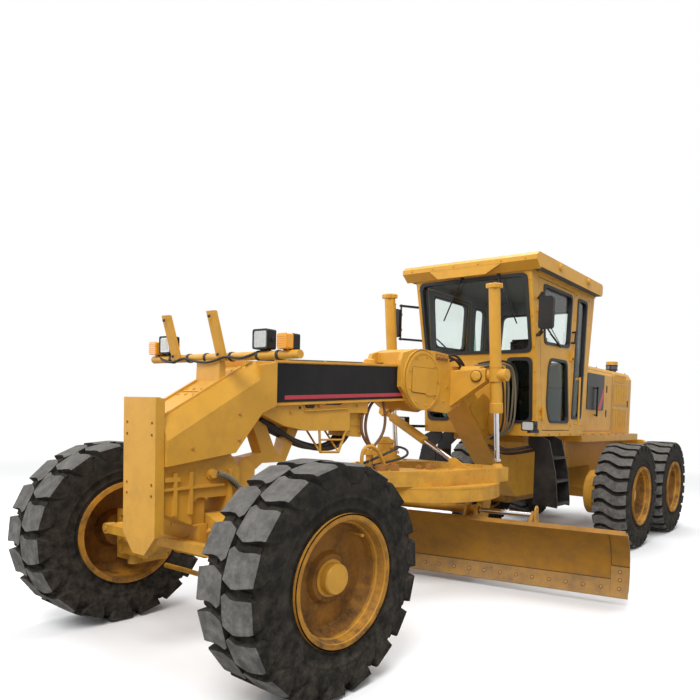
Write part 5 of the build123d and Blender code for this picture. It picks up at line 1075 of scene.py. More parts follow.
def add_cover_trim():
    # Black plates in the cover's recess and slot, and a black disc on each side: painted shade in these hollows
    shape = bmesh.new()
    side_plate(shape, COVER_X - 0.001, [(0.745, 1.583), (0.826, 1.586), (0.842, 1.634), (0.722, 1.630)], 0.0025, 0.014)
    side_plate(shape, COVER_X - 0.001, [(0.950, 1.617), (1.105, 1.620), (1.146, 1.648), (0.918, 1.641)], 0.0025, 0.012)
    for sign in (1, -1):
        prism(shape, disc((sign * (COVER_X - 0.001), Y(0.69), 1.587), (sign, 0, 0), 0.012, 12), (sign * 0.003, 0, 0))
    piece("cover_openings_painted_shade", shape, "black", "front_frame")
    shape = bmesh.new()
    side_frame(shape, COVER_X - 0.001, [(0.735, 1.573), (0.838, 1.576), (0.856, 1.644), (0.708, 1.640)], 0.009, 0.006,
               0.018)
    side_frame(shape, COVER_X - 0.001, [(0.940, 1.608), (1.115, 1.611), (1.160, 1.656), (0.905, 1.650)], 0.007, 0.005,
               0.014)
    side_plate(shape, COVER_X, [(0.728, 1.560), (1.190, 1.592), (1.190, 1.601), (0.728, 1.569)], 0.012)
    piece("cover_frames", shape, "yellow", "front_frame")
    shape = bmesh.new()
    hex_bolt(shape, (COVER_X, Y(0.883), 1.613), (1, 0, 0), 0.016)
    for station, z in ((0.42, 1.58), (0.60, 1.55), (1.30, 1.62), (1.40, 1.56)):
        hex_bolt(shape, (COVER_X, Y(station), z), (1, 0, 0), 0.009)
        hex_bolt(shape, (-COVER_X, Y(station), z), (-1, 0, 0), 0.009)
    piece("cover_bolts", shape, "bolt", "front_frame")
    shape = bmesh.new()
    corners = [(0.13, Y(s), z) for s, z in ((0.898, 1.425), (0.910, 1.258), (1.108, 1.252), (1.189, 1.425))]
    for start, end in zip(corners, corners[1:]):
        rod(shape, start, end, 0.010, 10)
    rod(shape, (0.13, Y(0.905), 1.351), (0.13, Y(1.148), 1.348), 0.008, 10)
    for start in (corners[1], corners[2]):
        rod(shape, start, (start[0] - 0.16, start[1], start[2] + 0.17), 0.008, 10)
    piece("wire_step", shape, "yellow_low", "front_frame")


# Lamps: lenses, frames, the signals' black housings and the cable along the light bar
WHITE_LAMPS = (
    # across, station, height, width, height of the face
    (-0.46, 0.01, 1.985, 0.135, 0.120), (0.52, 0.01, 1.985, 0.135, 0.120),
    (-0.79, 3.06, 1.49, 0.140, 0.100), (0.79, 3.06, 1.49, 0.140, 0.100),
)
SIGNAL_X = (-0.59, 0.725)
SIGNAL_Z = 1.965


def add_lamp_faces():
    glass, frames = bmesh.new(), bmesh.new()
    for x, station, z, wide, high in WHITE_LAMPS:
        front_plate(glass, (x, Y(station) + 0.001, z), wide - 0.022, high - 0.022, 0.014, -0.006)
        y, reach = Y(station) - 0.0052, high / 2 - 0.020
        for k in range(7):
            a = (k - 3) * (wide - 0.040) / 6
            rod(glass, (x + a, y, z - reach), (x + a, y, z + reach), 0.0022, 6)
        front_plate(frames, (x, Y(station) + 0.002, z), wide, high, 0.016, -0.010, 0.010)
        for way in (-1, 1):
            near, far = x + way * (wide / 2 - 0.001), x + way * (wide / 2 + 0.008)
            rod(frames, (near, Y(station + 0.03), z), (far, Y(station + 0.03), z), 0.011, 12)
    piece("lamp_lenses", glass, "lens", "front_frame")
    for x in SIGNAL_X:
        front_plate(frames, (x, Y(0.040), SIGNAL_Z), 0.096, 0.096, 0.012, 0.049, 0.004)
        front_plate(frames, (x, Y(0.085), SIGNAL_Z), 0.094, 0.094, 0.012, 0.004)
    piece("lamp_frames", frames, "plastic", "front_frame")
    shape = bmesh.new()
    for x in SIGNAL_X:
        front_plate(shape, (x, Y(-0.004), SIGNAL_Z), 0.082, 0.082, 0.012, -0.006)
        for k in range(5):
            box(shape, (x - 0.036, Y(-0.0125), 1.938 + 0.013 * k), (x + 0.036, Y(-0.008), 1.943 + 0.013 * k))
    piece("signal_ribs", shape, "amber", "front_frame")
    lamp_cable = lie(
        (-0.60, 0.045, 1.925), (-0.50, 0.004, 1.880), (-0.36, 0.002, 1.858), (-0.24, 0.004, 1.895),
                     (-0.12, 0.002, 1.862),
        (0.04, 0.002, 1.852), (0.20, 0.004, 1.893), (0.34, 0.002, 1.868), (0.46, 0.008, 1.898), (0.53, 0.045, 1.925))
    tube("lamp_cable", lamp_cable, 0.008, "hose", "front_frame")
    signal_cable = lie((0.53, 0.05, 1.925), (0.60, 0.075, 1.900), (0.68, 0.075, 1.905), (0.725, 0.05, 1.93))
    tube("signal_cable", signal_cable, 0.006, "hose", "front_frame")
    shape = bmesh.new()
    for x in (-0.43, -0.235, -0.05, 0.205, 0.46, 0.64):
        lathe(shape, (x, Y(0.040), 1.890), (1, 0, 0), [(0.027, 0), (0.031, 0.004), (0.031, 0.022), (0.027, 0.026)], 18)
    piece("cable_wraps", shape, "hose", "front_frame")
    shape = bmesh.new()
    for x in (-0.330, 0.150):
        for station, z in ((0.002, 1.90), (-0.064, 2.13)):
            hex_bolt(shape, (x, Y(station) - 0.022, z), (0, -1, 0.2), 0.008)
    piece("post_bolts", shape, "steel", "front_frame")


# Hoses with both ends fixed: loops under the beam, the bunch behind the lift cylinder, and the guarded hose
CAB_FRONT_HOSES = (
    # across, then (station, height) of four points: over the yoke, over the top, down the front, at the floor
    (0.50, (3.02, 2.12), (3.30, 2.10), (3.385, 1.95), (3.395, 1.56)),
    (0.47, (3.00, 2.10), (3.26, 2.08), (3.350, 1.94), (3.370, 1.52)),
    (0.44, (2.98, 2.08), (3.20, 2.05), (3.305, 1.92), (3.345, 1.50)),
    (0.41, (2.96, 2.06), (3.14, 2.03), (3.245, 1.88), (3.320, 1.50)),
    (0.38, (2.95, 2.04), (3.08, 2.00), (3.185, 1.84), (3.290, 1.50)),
    (0.52, (3.04, 2.09), (3.22, 2.06), (3.300, 1.90), (3.360, 1.54)),
)


def add_beam_hoses():
    """Three loops that cross from the beam to the drawbar, their union, and four hoses inside the nose."""
    loops = (
        lie((0.10, 1.62, 1.72), (0.12, 1.56, 1.690), (0.125, 1.43, 1.655), (0.125, 1.365, 1.50), (0.125, 1.39, 1.36),
            (0.12, 1.50, 1.275)),
        lie((0.08, 1.64, 1.72), (0.10, 1.60, 1.690), (0.105, 1.50, 1.64), (0.11, 1.435, 1.50), (0.11, 1.45, 1.37),
            (0.115, 1.51, 1.285)),
        lie((0.11, 1.64, 1.72), (0.125, 1.655, 1.64), (0.13, 1.68, 1.50), (0.125, 1.64, 1.36), (0.12, 1.525, 1.275)),
    )
    for k, places in enumerate(loops):
        hose = tube(f"beam_hose_{k + 1}", places, 0.0125, "rusty_hose", None)
        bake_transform(hose)
    shape = bmesh.new()
    lathe(shape, (0.12, Y(1.51), 1.305), (0, 0.2, -1),
          [(0.024, 0), (0.028, 0.01), (0.028, 0.04), (0.018, 0.05), (0.018, 0.09)], 12)
    box(shape, (0.07, Y(1.47), 1.215), (0.14, Y(1.55), 1.262))
    box(shape, (0.085, Y(1.485), 1.083), (0.125, Y(1.535), 1.216))
    piece("hose_union", shape, "yellow_low", "drawbar")
    for k, (x, drop) in enumerate(((-0.075, 0.0), (-0.030, 0.030), (0.015, 0.008), (0.060, 0.036))):
        places = lie((x, 0.40, 1.50), (x, 0.56, 1.42), (x + 0.01, 0.80, 1.33 - drop), (x, 1.05, 1.285 - drop / 2),
                     (x, 1.22, 1.305), (x, 1.285, 1.385))
        tube(f"nose_hose_{k + 1}", places, 0.017, "hose", "front_frame")


def add_cab_hoses():
    """The bunch in front of the cab, the short ones on the saddle, and those that run back under the floor."""
    for k, (x, (s0, z0), (s1, z1), (s2, z2), (s3, z3)) in enumerate(CAB_FRONT_HOSES):
        key = "hose" if k % 3 == 0 else "pale_hose"
        places = lie((x - 0.20, s0 - 0.13, z0 - 0.03), (x - 0.08, s0 - 0.04, z0 + 0.01), (x, s0 + 0.08, z0 + 0.01),
                     (x, s1, z1), (x - 0.01, s2, z2), (x - 0.02, (s2 + s3) / 2, (z2 + z3) / 2), (x - 0.04, s3, z3),
                     (x - 0.10, s3 + 0.02, z3 - 0.12), (x - 0.20, s3 + 0.02, z3 - 0.17))
        tube(f"cab_front_hose_{k + 1}", places, 0.0105, key, "front_frame")
    for k, (s0, z0) in enumerate(((2.56, 2.10), (2.52, 2.07), (2.60, 2.06))):
        places = lie((0.16, s0 - 0.14, z0 - 0.02), (0.17, s0, z0 + 0.05), (0.175, s0 + 0.12, z0 + 0.055),
                     (0.175, s0 + 0.25, z0 - 0.01), (0.165, s0 + 0.36, z0 - 0.12))
        tube(f"saddle_hose_{k + 1}", places, 0.012, "hose", "front_frame")
    for k in range(5):
        z = 1.262 - 0.024 * (k % 3)
        s = 3.30 + 0.052 * k
        places = lie((0.16, s + 0.10, z), (0.28, s + 0.02, z - 0.03), (0.42, s, z - 0.035), (0.55, s + 0.05, z - 0.01),
                     (0.60, s + 0.22, z + 0.01), (0.60, s + 0.40, z + 0.02))
        tube(f"cab_floor_hose_{k + 1}", places, 0.013, "rusty_hose" if k % 2 else "hose", "front_frame")


def add_guarded_hose():
    """The hose from the nose's boss down to the axle, in its wire spring."""
    places = lie((0.165, -0.055, 1.158), (0.172, 0.0, 1.150), (0.178, 0.07, 1.105), (0.172, 0.16, 1.03),
                 (0.15, 0.22, 0.955))
    tube("guarded_hose", places, 0.013, "hose", "front_frame")
    start, end = Vector((0.172, Y(-0.03), 1.153)), Vector((0.176, Y(0.185), 1.005))
    turns, points_a_turn, coil_radius = 20, 8, 0.019
    run = end - start
    first, second = across(run)
    sag = Vector((0, 0, 0.030))
    coil = []
    for k in range(turns * points_a_turn + 1):
        t = k / (turns * points_a_turn)
        a = 2 * math.pi * k / points_a_turn
        spoke = math.cos(a) * first + math.sin(a) * second
        coil.append(start + run * t + sag * math.sin(math.pi * t) + coil_radius * spoke)
    tube("hose_guard_spring", coil, 0.0036, "pale_hose", "front_frame", round_steps=1)
    shape = bmesh.new()
    lathe(shape, (0.140, Y(-0.051), 1.149), (1, 0, 0), [(0.036, 0), (0.036, 0.016), (0.026, 0.018), (0.026, 0.040)], 20)
    piece("hose_boss_ring", shape, "yellow_low", "front_frame")


# Lift saddle: side rings, plates and bolts, the valve on top, and the trunnions' caps
SADDLE_X = 0.209
SADDLE_MIDDLE = (Y(2.105), 1.870)


def add_saddle_trim():
    def ring_and_plate(shape, sign):
        ring(shape, (sign * SADDLE_X, *SADDLE_MIDDLE), (sign, 0, 0), 0.262, 0.240, 0.006, 64)
        outline = [(1.925, 1.765), (2.120, 1.760), (2.150, 1.742), (2.300, 1.746), (2.296, 1.990), (1.930, 1.984)]
        side_plate(shape, SADDLE_X, outline, 0.010, 0.012, sign)

    both_sides("saddle_plates", "yellow", "front_frame", ring_and_plate)

    def ring_bolts(shape, sign):
        for place in disc((0, *SADDLE_MIDDLE), (1, 0, 0), 0.222, 9, 0.35):
            hex_bolt(shape, (sign * 0.210, place.y, place.z), (sign, 0, 0), 0.009)
        for s, z in ((2.50, 1.84), (2.45, 1.70)):
            hex_bolt(shape, (sign * 0.195, Y(s), z), (sign, 0, 0), 0.010)

    both_sides("saddle_bolts", "yellow_low", "front_frame", ring_bolts)

    # Thin rings and frames of the darker seam paint round the saddle's ring and plate: painted shadow at their edges
    def saddle_seams(shape, sign):
        at = (sign * 0.2095, Y(2.090), 1.880)
        ring(shape, at, (sign, 0, 0), 0.2655, 0.2615, 0.0025, 64)
        side_frame(shape, 0.2095, [(1.921, 1.761), (2.304, 1.742), (2.300, 1.994), (1.926, 1.988)], 0.004, 0.0025,
                   0.012, sign)

    both_sides("saddle_seams", "seam", "front_frame", saddle_seams)
    shape = bmesh.new()
    box(shape, (0.08, Y(2.30), 2.08), (0.20, Y(2.50), 2.135))
    for s in (2.33, 2.39, 2.45):
        lathe(shape, (0.20, Y(s), 2.105), (1, 0, 0.1),
              [(0.019, -0.01), (0.019, 0.012), (0.014, 0.014), (0.014, 0.030)], 12)
        lathe(shape, (0.13, Y(s), 2.13), (0, 0, 1), [(0.017, -0.01), (0.017, 0.016), (0.010, 0.020), (0.010, 0.032)],
              12)
    box(shape, (-0.10, Y(2.34), 2.07), (0.05, Y(2.52), 2.120))
    piece("saddle_valve", shape, "rust_cast", "front_frame")

    def arm_cap(sign):
        """Centre and outward direction of the locking pin's cap, on the arm's slanting front face."""
        return Vector((sign * 0.460, Y(2.592), 1.948)), Vector((sign * 0.23, -0.97, 0.05)).normalized()

    def trunnion(shape, sign):
        centre, out = arm_cap(sign)
        lathe(shape, centre - out * 0.030, out, [(0.048, 0), (0.048, 0.038), (0.040, 0.044), (0.010, 0.046)], 32)
        for place in disc(centre + out * 0.013, out, 0.026, 4, 0.5):
            hex_bolt(shape, place, out, 0.007)

    both_sides("trunnion_caps", "yellow_low", "front_frame", trunnion)
    # A ring of the darker seam paint round each trunnion cap: painted shadow
    shape = bmesh.new()
    for sign in (1, -1):
        centre, out = arm_cap(sign)
        ring(shape, centre - out * 0.030, out, 0.0545, 0.0485, 0.033, 40)
    piece("trunnion_seams", shape, "seam", "front_frame")

    def gusset(shape, sign):
        side_plate(shape, BEAM_X, [(2.981, 1.655), (3.246, 1.820), (3.422, 1.729), (3.274, 1.407)], 0.012, 0.05, sign)
        hex_bolt(shape, (sign * (BEAM_X + 0.012), Y(3.16), 1.672), (sign, 0, 0), 0.009)
        low, high = sorted((sign * BEAM_X, sign * (BEAM_X + 0.016)))
        box(shape, (low, Y(3.172), 1.606), (high, Y(3.222), 1.620))

    both_sides("gooseneck_gussets", "yellow", "front_frame", gusset)


# Lift cylinders: glands, top caps with lobes, ports and side pipes
LIFT_FOOT = (2.780, 1.070)
LIFT_RISE = Vector((0, -0.18, 1.73)).normalized()
LIFT_PIPE = (
    # distance above the ball, across, behind the axis
    (1.640, 0.620, 0.080), (1.60, 0.620, 0.086), (1.50, 0.620, 0.070), (1.25, 0.620, 0.068), (1.05, 0.620, 0.070),
    (1.00, 0.60, 0.075),
)


def on_lift(sign, run, x=0.620, back=0.0):
    """Point beside a lift cylinder's axis, a distance above its ball."""
    square = Vector((0, LIFT_RISE.z, -LIFT_RISE.y))
    return Vector((sign * x, Y(LIFT_FOOT[0]), LIFT_FOOT[1])) + LIFT_RISE * run + square * back


def add_lift_trim():
    def barrel(shape, sign):
        lathe(shape, on_lift(sign, 0.540), LIFT_RISE, [(0.050, 0), (0.064, 0.006), (0.064, 0.088), (0.056, 0.096)], 32)
        lathe(shape, on_lift(sign, 1.690), LIFT_RISE, [(0.056, 0), (0.064, 0.006), (0.064, 0.040), (0.050, 0.050)], 32)
        for place in disc(on_lift(sign, 1.694), LIFT_RISE, 0.062, 4, 0.6):
            lathe(shape, place, LIFT_RISE, [(0.016, 0), (0.018, 0.004), (0.018, 0.036), (0.012, 0.044)], 12)
        for run in (0.655, 1.640):
            lathe(shape, on_lift(sign, run, back=0.045), (0, 1, 0.1),
                  [(0.020, 0), (0.020, 0.024), (0.014, 0.026), (0.014, 0.040)], 14)
        ring(shape, on_lift(sign, 0.830), LIFT_RISE, 0.0585, 0.052, 0.030, 32)
        ring(shape, on_lift(sign, 0.965), LIFT_RISE, 0.0585, 0.052, 0.030, 32)

    both_sides("lift_barrel_fittings", "yellow", "lift_barrels", barrel)
    for sign, side in ((1, "left"), (-1, "right")):
        places = [on_lift(sign, run, x, back) for run, x, back in LIFT_PIPE]
        tube(f"lift_pipe_{side}", places, 0.008, "yellow_low", "lift_barrels")

    def pins(shape, sign):
        centre = on_lift(sign, 0.8945, x=0.742)
        lathe(shape, centre, (sign, 0, 0), [(0.038, 0), (0.038, 0.006), (0.014, 0.009)], 24)
        for place in disc(centre, (1, 0, 0), 0.030, 3, 0.2):
            hex_bolt(shape, place + Vector((sign * 0.005, 0, 0)), (sign, 0, 0), 0.007)

    both_sides("lift_yoke_caps", "yellow_low", "lift_barrels", pins)


# Drawbar and circle: hose hoop, castings and bolts, teeth and rims
DRAWBAR_TOP = 1.085
GEARBOX_S = 1.840
CASTINGS = (
    # station, across
    (1.46, 0.12), (1.56, 0.20), (1.66, 0.26), (1.60, 0.06), (1.72, 0.16), (1.98, 0.28), (2.04, 0.36), (1.52, -0.10),
    (1.66, -0.22), (1.98, -0.30),
)


def add_drawbar_trim():
    hoop = lie((0.21, 1.300, 1.06), (0.21, 1.292, 1.14), (0.21, 1.295, 1.25), (0.21, 1.350, 1.300),
               (0.21, 1.440, 1.290),
               (0.21, 1.530, 1.225), (0.21, 1.60, 1.10))
    tube("drawbar_hoop", hoop, 0.015, "yellow_low", "drawbar")
    draws = random.Random(5)
    shape = bmesh.new()
    for s, x in CASTINGS:
        a, b, h = draws.uniform(0.02, 0.04), draws.uniform(0.02, 0.045), draws.uniform(0.02, 0.055)
        box(shape, (x - a, Y(s) - b, DRAWBAR_TOP - 0.002), (x + a, Y(s) + b, DRAWBAR_TOP + h))
        hex_bolt(shape, (x, Y(s), DRAWBAR_TOP + h), (0, 0, 1), 0.012)
    piece("drawbar_castings", shape, "rust_cast", "drawbar")
    places = [(sign * x, Y(s), DRAWBAR_TOP)
              for sign in (1, -1) for s, x in ((2.00, 0.47), (2.12, 0.52), (2.62, 0.52), (2.72, 0.46))]
    bolts("drawbar_bolts", places, (0, 0, 1), 0.016, "yellow_low", "drawbar")
    shape = bmesh.new()
    for place in disc((0, Y(GEARBOX_S), 1.234), (0, 0, 1), 0.088, 8, 0.2):
        hex_bolt(shape, place, (0, 0, 1), 0.009)
    cover = [(0.072, 0), (0.076, 0.006), (0.076, 0.030), (0.050, 0.042), (0.030, 0.060)]
    lathe(shape, (0, Y(GEARBOX_S), 1.300), (0, 0, 1), cover, 28)
    port = [(0.020, 0), (0.020, 0.025), (0.014, 0.027), (0.014, 0.045)]
    lathe(shape, (0.065, Y(GEARBOX_S), 1.27), (1, 0, 0), port, 14)
    lathe(shape, (0.02, Y(1.905), 1.27), (0, 1, 0), port, 14)
    piece("gearbox_fittings", shape, "yellow_low", "drawbar")
    routes = (
        lie((0.105, 1.840, 1.270), (0.16, 1.835, 1.270), (0.19, 1.74, 1.26), (0.15, 1.58, 1.20), (0.08, 1.40, 1.13),
            (0.05, 1.20, 1.085)),
        lie((0.02, 1.945, 1.270), (0.03, 2.01, 1.270), (0.12, 2.02, 1.24), (0.20, 1.90, 1.19), (0.17, 1.66, 1.15),
            (0.09, 1.42, 1.11), (0.02, 1.22, 1.085)),
    )
    for k, places in enumerate(routes):
        tube(f"circle_motor_hose_{k + 1}", places, 0.011, "hose", "drawbar")


def add_circle_teeth():
    shape = bmesh.new()
    count, root, tip = 72, 0.604, 0.580
    centre = Vector((0, Y(CIRCLE_S), 0.835))
    for k in range(count):
        a = 2 * math.pi * k / count
        out, side = Vector((math.cos(a), math.sin(a), 0)), Vector((-math.sin(a), math.cos(a), 0))
        corners = ((root, 0.017), (tip, 0.008), (tip, -0.008), (root, -0.017))
        prism(shape, [centre + out * radius + side * half for radius, half in corners], (0, 0, 0.060))
    piece("circle_teeth", shape, "steel", "circle")
    shape = bmesh.new()
    ring(shape, (0, Y(CIRCLE_S), 0.935), (0, 0, 1), 0.7685, 0.760, 0.016, 96)
    ring(shape, (0, Y(CIRCLE_S), 0.824), (0, 0, 1), 0.7685, 0.760, 0.012, 96)
    piece("circle_rims", shape, "yellow_low", "circle")


# Blade: seams, bolts along the cutting edge, nuts behind and the bar on its back
BLADE_R, BLADE_T, EDGE_T = 0.413, 0.022, 0.016
BLADE_CHORD, BLADE_LOW, BLADE_LEAN = 0.587, 0.070, math.radians(16.5)


def at_blade(along, v, z):
    """Point in the blade's turned frame: along it, behind the circle's axis, and its height."""
    c, s = math.cos(BLADE_YAW), math.sin(BLADE_YAW)
    return Vector((along * c - v * s, Y(CIRCLE_S) + along * s + v * c, z))


def on_blade(along, radius, degrees):
    """Point on the blade: along it from the middle, and at a radius and an angle of its curve."""
    half = BLADE_CHORD / 2
    a = radius * math.sin(math.radians(degrees)) + half
    b = radius * math.cos(math.radians(degrees)) - math.sqrt(BLADE_R**2 - half**2)
    v = -math.sin(BLADE_LEAN) * a + math.cos(BLADE_LEAN) * b
    return at_blade(along, v, BLADE_LOW + math.cos(BLADE_LEAN) * a + math.sin(BLADE_LEAN) * b)


def blade_inward(along, degrees):
    """Direction square to the blade's face, towards the middle of its curve."""
    return (on_blade(along, 0.2, degrees) - on_blade(along, 0.4, degrees)).normalized()


def add_blade_trim():
    face = BLADE_R - EDGE_T - 0.0003
    fronts, seats, nuts = bmesh.new(), bmesh.new(), bmesh.new()
    rows = [(-1.905 + 0.1524 * k, -34.5) for k in range(26)]
    rows += [(u, angle) for u in (-1.905, 1.905) for angle in (-24, -14)]
    for along, angle in rows:
        inward = blade_inward(along, angle)
        place = on_blade(along, face, angle)
        lathe(fronts, place - inward * 0.001, inward, [(0.0125, 0), (0.0125, 0.003), (0.009, 0.0045)], 14)
        lathe(seats, place - inward * 0.001, inward, [(0.0175, 0), (0.0175, 0.0018)], 16)
        hex_bolt(nuts, on_blade(along, BLADE_R + BLADE_T, angle), -inward, 0.014)
    piece("edge_bolts", fronts, "bolt", "blade")
    piece("edge_bolt_seats", seats, "steel", "blade")
    piece("edge_nuts", nuts, "edge", "blade")
    # Thin dark seams where the edges and end bits meet the mouldboard and each other
    seams = bmesh.new()
    for start, end, angle in ((-1.829, 1.829, -23.9), (-1.981, -1.829, -7.6), (1.829, 1.981, -7.6)):
        low = [on_blade(u, BLADE_R - 0.0015, angle) for u in (start, end)]
        high = [on_blade(u, BLADE_R - 0.0015, angle + 0.55) for u in (end, start)]
        prism(seams, low + high, blade_inward(0, angle) * 0.003)
    for along in (-1.829, 1.829):
        for low, high in ((-7, 12), (12, 28), (28, 44)):
            corners = ((-0.002, low), (-0.002, high), (0.002, high), (0.002, low))
            four = [on_blade(along + d, BLADE_R - 0.0015, angle) for d, angle in corners]
            prism(seams, four, blade_inward(along, low + 9) * 0.003)
    piece("blade_seams", seams, "steel", "blade")
    # Stiffening bar along the top of the back
    shape = bmesh.new()
    outline = ((-0.003, 38), (0.022, 38), (0.022, 44), (-0.003, 44))
    corners = [on_blade(-1.96, BLADE_R + BLADE_T + out, angle) for out, angle in outline]
    prism(shape, corners, on_blade(1.96, 0.4, 0) - on_blade(-1.96, 0.4, 0))
    # The bar takes the darker blade paint: painted shade
    piece("blade_top_bar", shape, "blade", "blade")


def add_shift_fittings():
    """Collars and ports of the side-shift barrel, and the bolted lug that its rod pushes on."""
    along = at_blade(1, 0, 0) - at_blade(0, 0, 0)
    shape = bmesh.new()
    for u in (-0.69, 0.44, 0.522):
        lathe(shape, at_blade(u, 0.100, 0.690), along, [(0.041, 0), (0.048, 0.004), (0.048, 0.024), (0.041, 0.028)], 24)
    for u in (0.453, -0.665):
        lathe(shape, at_blade(u, 0.100, 0.725), (0, 0, 1),
              [(0.018, 0), (0.018, 0.024), (0.012, 0.026), (0.012, 0.036)], 12)
    piece("shift_barrel_fittings", shape, "yellow_low", "tilt_frame")
    shape = bmesh.new()
    lug, thick = 1.130, 0.012
    outline = [(0.045, 0.60), (0.155, 0.60), (0.150, 0.74), (0.120, 0.775), (0.080, 0.775), (0.050, 0.74)]
    prism(shape, [at_blade(lug, v, z) for v, z in outline], along * thick)
    for v, z in ((0.065, 0.63), (0.135, 0.63), (0.100, 0.755)):
        hex_bolt(shape, at_blade(lug + thick, v, z), along, 0.011)
    piece("shift_rod_lug_plates", shape, "yellow_low", "blade")


def add_beam_block():
    shape = bmesh.new()
    outline = [(1.226, 1.375), (1.400, 1.365), (1.415, 1.570), (1.226, 1.560)]
    prism(shape, [(-0.100, Y(s), z) for s, z in outline], (0.200, 0, 0))
    for sign in (1, -1):
        side_plate(shape, 0.100, [(1.240, 1.462), (1.406, 1.456), (1.406, 1.466), (1.240, 1.472)], 0.004, 0.0, sign)
        for s, z in ((1.26, 1.42), (1.38, 1.41), (1.26, 1.52), (1.38, 1.52)):
            hex_bolt(shape, (sign * 0.100, Y(s), z), (sign, 0, 0), 0.008)
    piece("beam_block", shape, "yellow_low", "front_frame")


# Hood: slatted louvres, door outline, latches, handles, the red corner, rails and the guard at the back
HOOD_X = 0.460
LOUVRES = (
    # first and last station, low and high
    (6.43, 6.96, 1.415, 1.735), (6.43, 6.96, 1.815, 2.095), (6.45, 6.92, 2.150, 2.225),
)
SLATS = 5


def upright(start, end, low, high, more=0.0):
    """Oblong outline of (station, height), larger all round by an amount."""
    start, end, low, high = start - more, end + more, low - more, high + more
    return [(start, low), (end, low), (end, high), (start, high)]


def add_louvres():
    shape, dark, frames = bmesh.new(), bmesh.new(), bmesh.new()
    for sign in (1, -1):
        for start, end, low, high in LOUVRES:
            # Black plate behind the slats: painted shade in the louvre opening
            side_plate(dark, HOOD_X, upright(start, end, low, high), 0.002, 0.0, sign)
            side_frame(frames, HOOD_X, upright(start, end, low, high, 0.02), 0.020, 0.006, 0.012, sign)
            pitch = (end - start) / SLATS
            for k in range(SLATS):
                s = start + pitch * (k + 0.12)
                section = ((0.001, 0.0), (0.001, 0.45), (0.020, 0.62), (0.016, 0.64))
                corners = [(sign * (HOOD_X + out), Y(s + pitch * share), low) for out, share in section]
                prism(shape, corners, (0, 0, high - low))
    piece("louvre_slats", shape, "yellow", "rear_frame")
    piece("louvre_openings_painted_shade", dark, "black", "rear_frame")
    piece("louvre_frames", frames, "yellow", "rear_frame")


def add_hood_trim():
    def seams(shape, sign):
        side_frame(shape, HOOD_X, upright(5.04, 6.34, 1.42, 2.24), 0.005, 0.0012, 0.05, sign)
        side_frame(shape, HOOD_X, upright(6.37, 7.10, 1.40, 2.24), 0.004, 0.0012, 0.03, sign)
        for s, z in ((6.12, 1.96), (6.12, 1.62), (7.04, 1.78)):
            side_plate(shape, HOOD_X, upright(s, s + 0.022, z, z + 0.10), 0.008, 0.006, sign)

    both_sides("hood_seams", "black", "rear_frame", seams)

    def handles(shape, sign):
        rod(shape, (sign * 0.500, Y(5.68), 1.62), (sign * 0.500, Y(5.68), 2.02), 0.013, 12)
        for z in (1.64, 2.00):
            rod(shape, (sign * 0.462, Y(5.68), z), (sign * 0.505, Y(5.68), z), 0.009, 10)

    both_sides("hood_handles", "black", "rear_frame", handles)

    def corner(shape, sign):
        side_plate(shape, 0.4683, [(6.005, 2.060), (6.005, 1.900), (5.900, 1.715), (5.790, 1.715)], 0.001, 0.0, sign)

    both_sides("plate_corners", "stripe", "rear_frame", corner)
    shape = bmesh.new()
    for x in (-0.40, 0.40):
        for s in (5.10, 5.50):
            rod(shape, (x, Y(s), 2.285), (x, Y(s), 2.405), 0.011, 10)
        rod(shape, (x, Y(5.085), 2.405), (x, Y(5.515), 2.405), 0.011, 10)
    for x in (-0.42, 0.42):
        for s in (5.2, 5.8, 6.4, 7.0):
            hex_bolt(shape, (x, Y(s), 2.290), (0, 0, 1), 0.008)
    piece("hood_rails", shape, "black", "rear_frame")
    shape = bmesh.new()
    bowl = [(0.070, 0), (0.070, 0.02), (0.086, 0.03), (0.0875, 0.10), (0.078, 0.112), (0.030, 0.118)]
    lathe(shape, (0.300, Y(6.750), 2.300), (0, 0, 1), bowl, 32)
    piece("precleaner_bowl", shape, "mirror_dark", "rear_frame")
    shape = bmesh.new()
    for z in (2.322, 2.385):
        ring(shape, (0.300, Y(6.750), z), (0, 0, 1), 0.0905, 0.082, 0.014, 40)
    lathe(shape, (-0.200, Y(6.450), 2.289), (0, 0, 1), [(0.075, 0), (0.075, 0.012), (0.060, 0.02)], 28)
    piece("hood_top_rings", shape, "black", "rear_frame")


def add_radiator_guard():
    """Bars over the radiator at the back: across, upright, and along the top and bottom."""
    shape = bmesh.new()
    for k in range(13):
        z = 1.44 + 0.058 * k
        box(shape, (-0.40, Y(7.196), z), (0.40, Y(7.214), z + 0.018))
    for x in (-0.41, -0.14, 0.12, 0.39):
        box(shape, (x, Y(7.194), 1.41), (x + 0.02, Y(7.222), 2.20))
    for z in (1.405, 2.19):
        box(shape, (-0.42, Y(7.194), z), (0.42, Y(7.220), z + 0.022))
    piece("radiator_guard", shape, "black", "rear_frame")


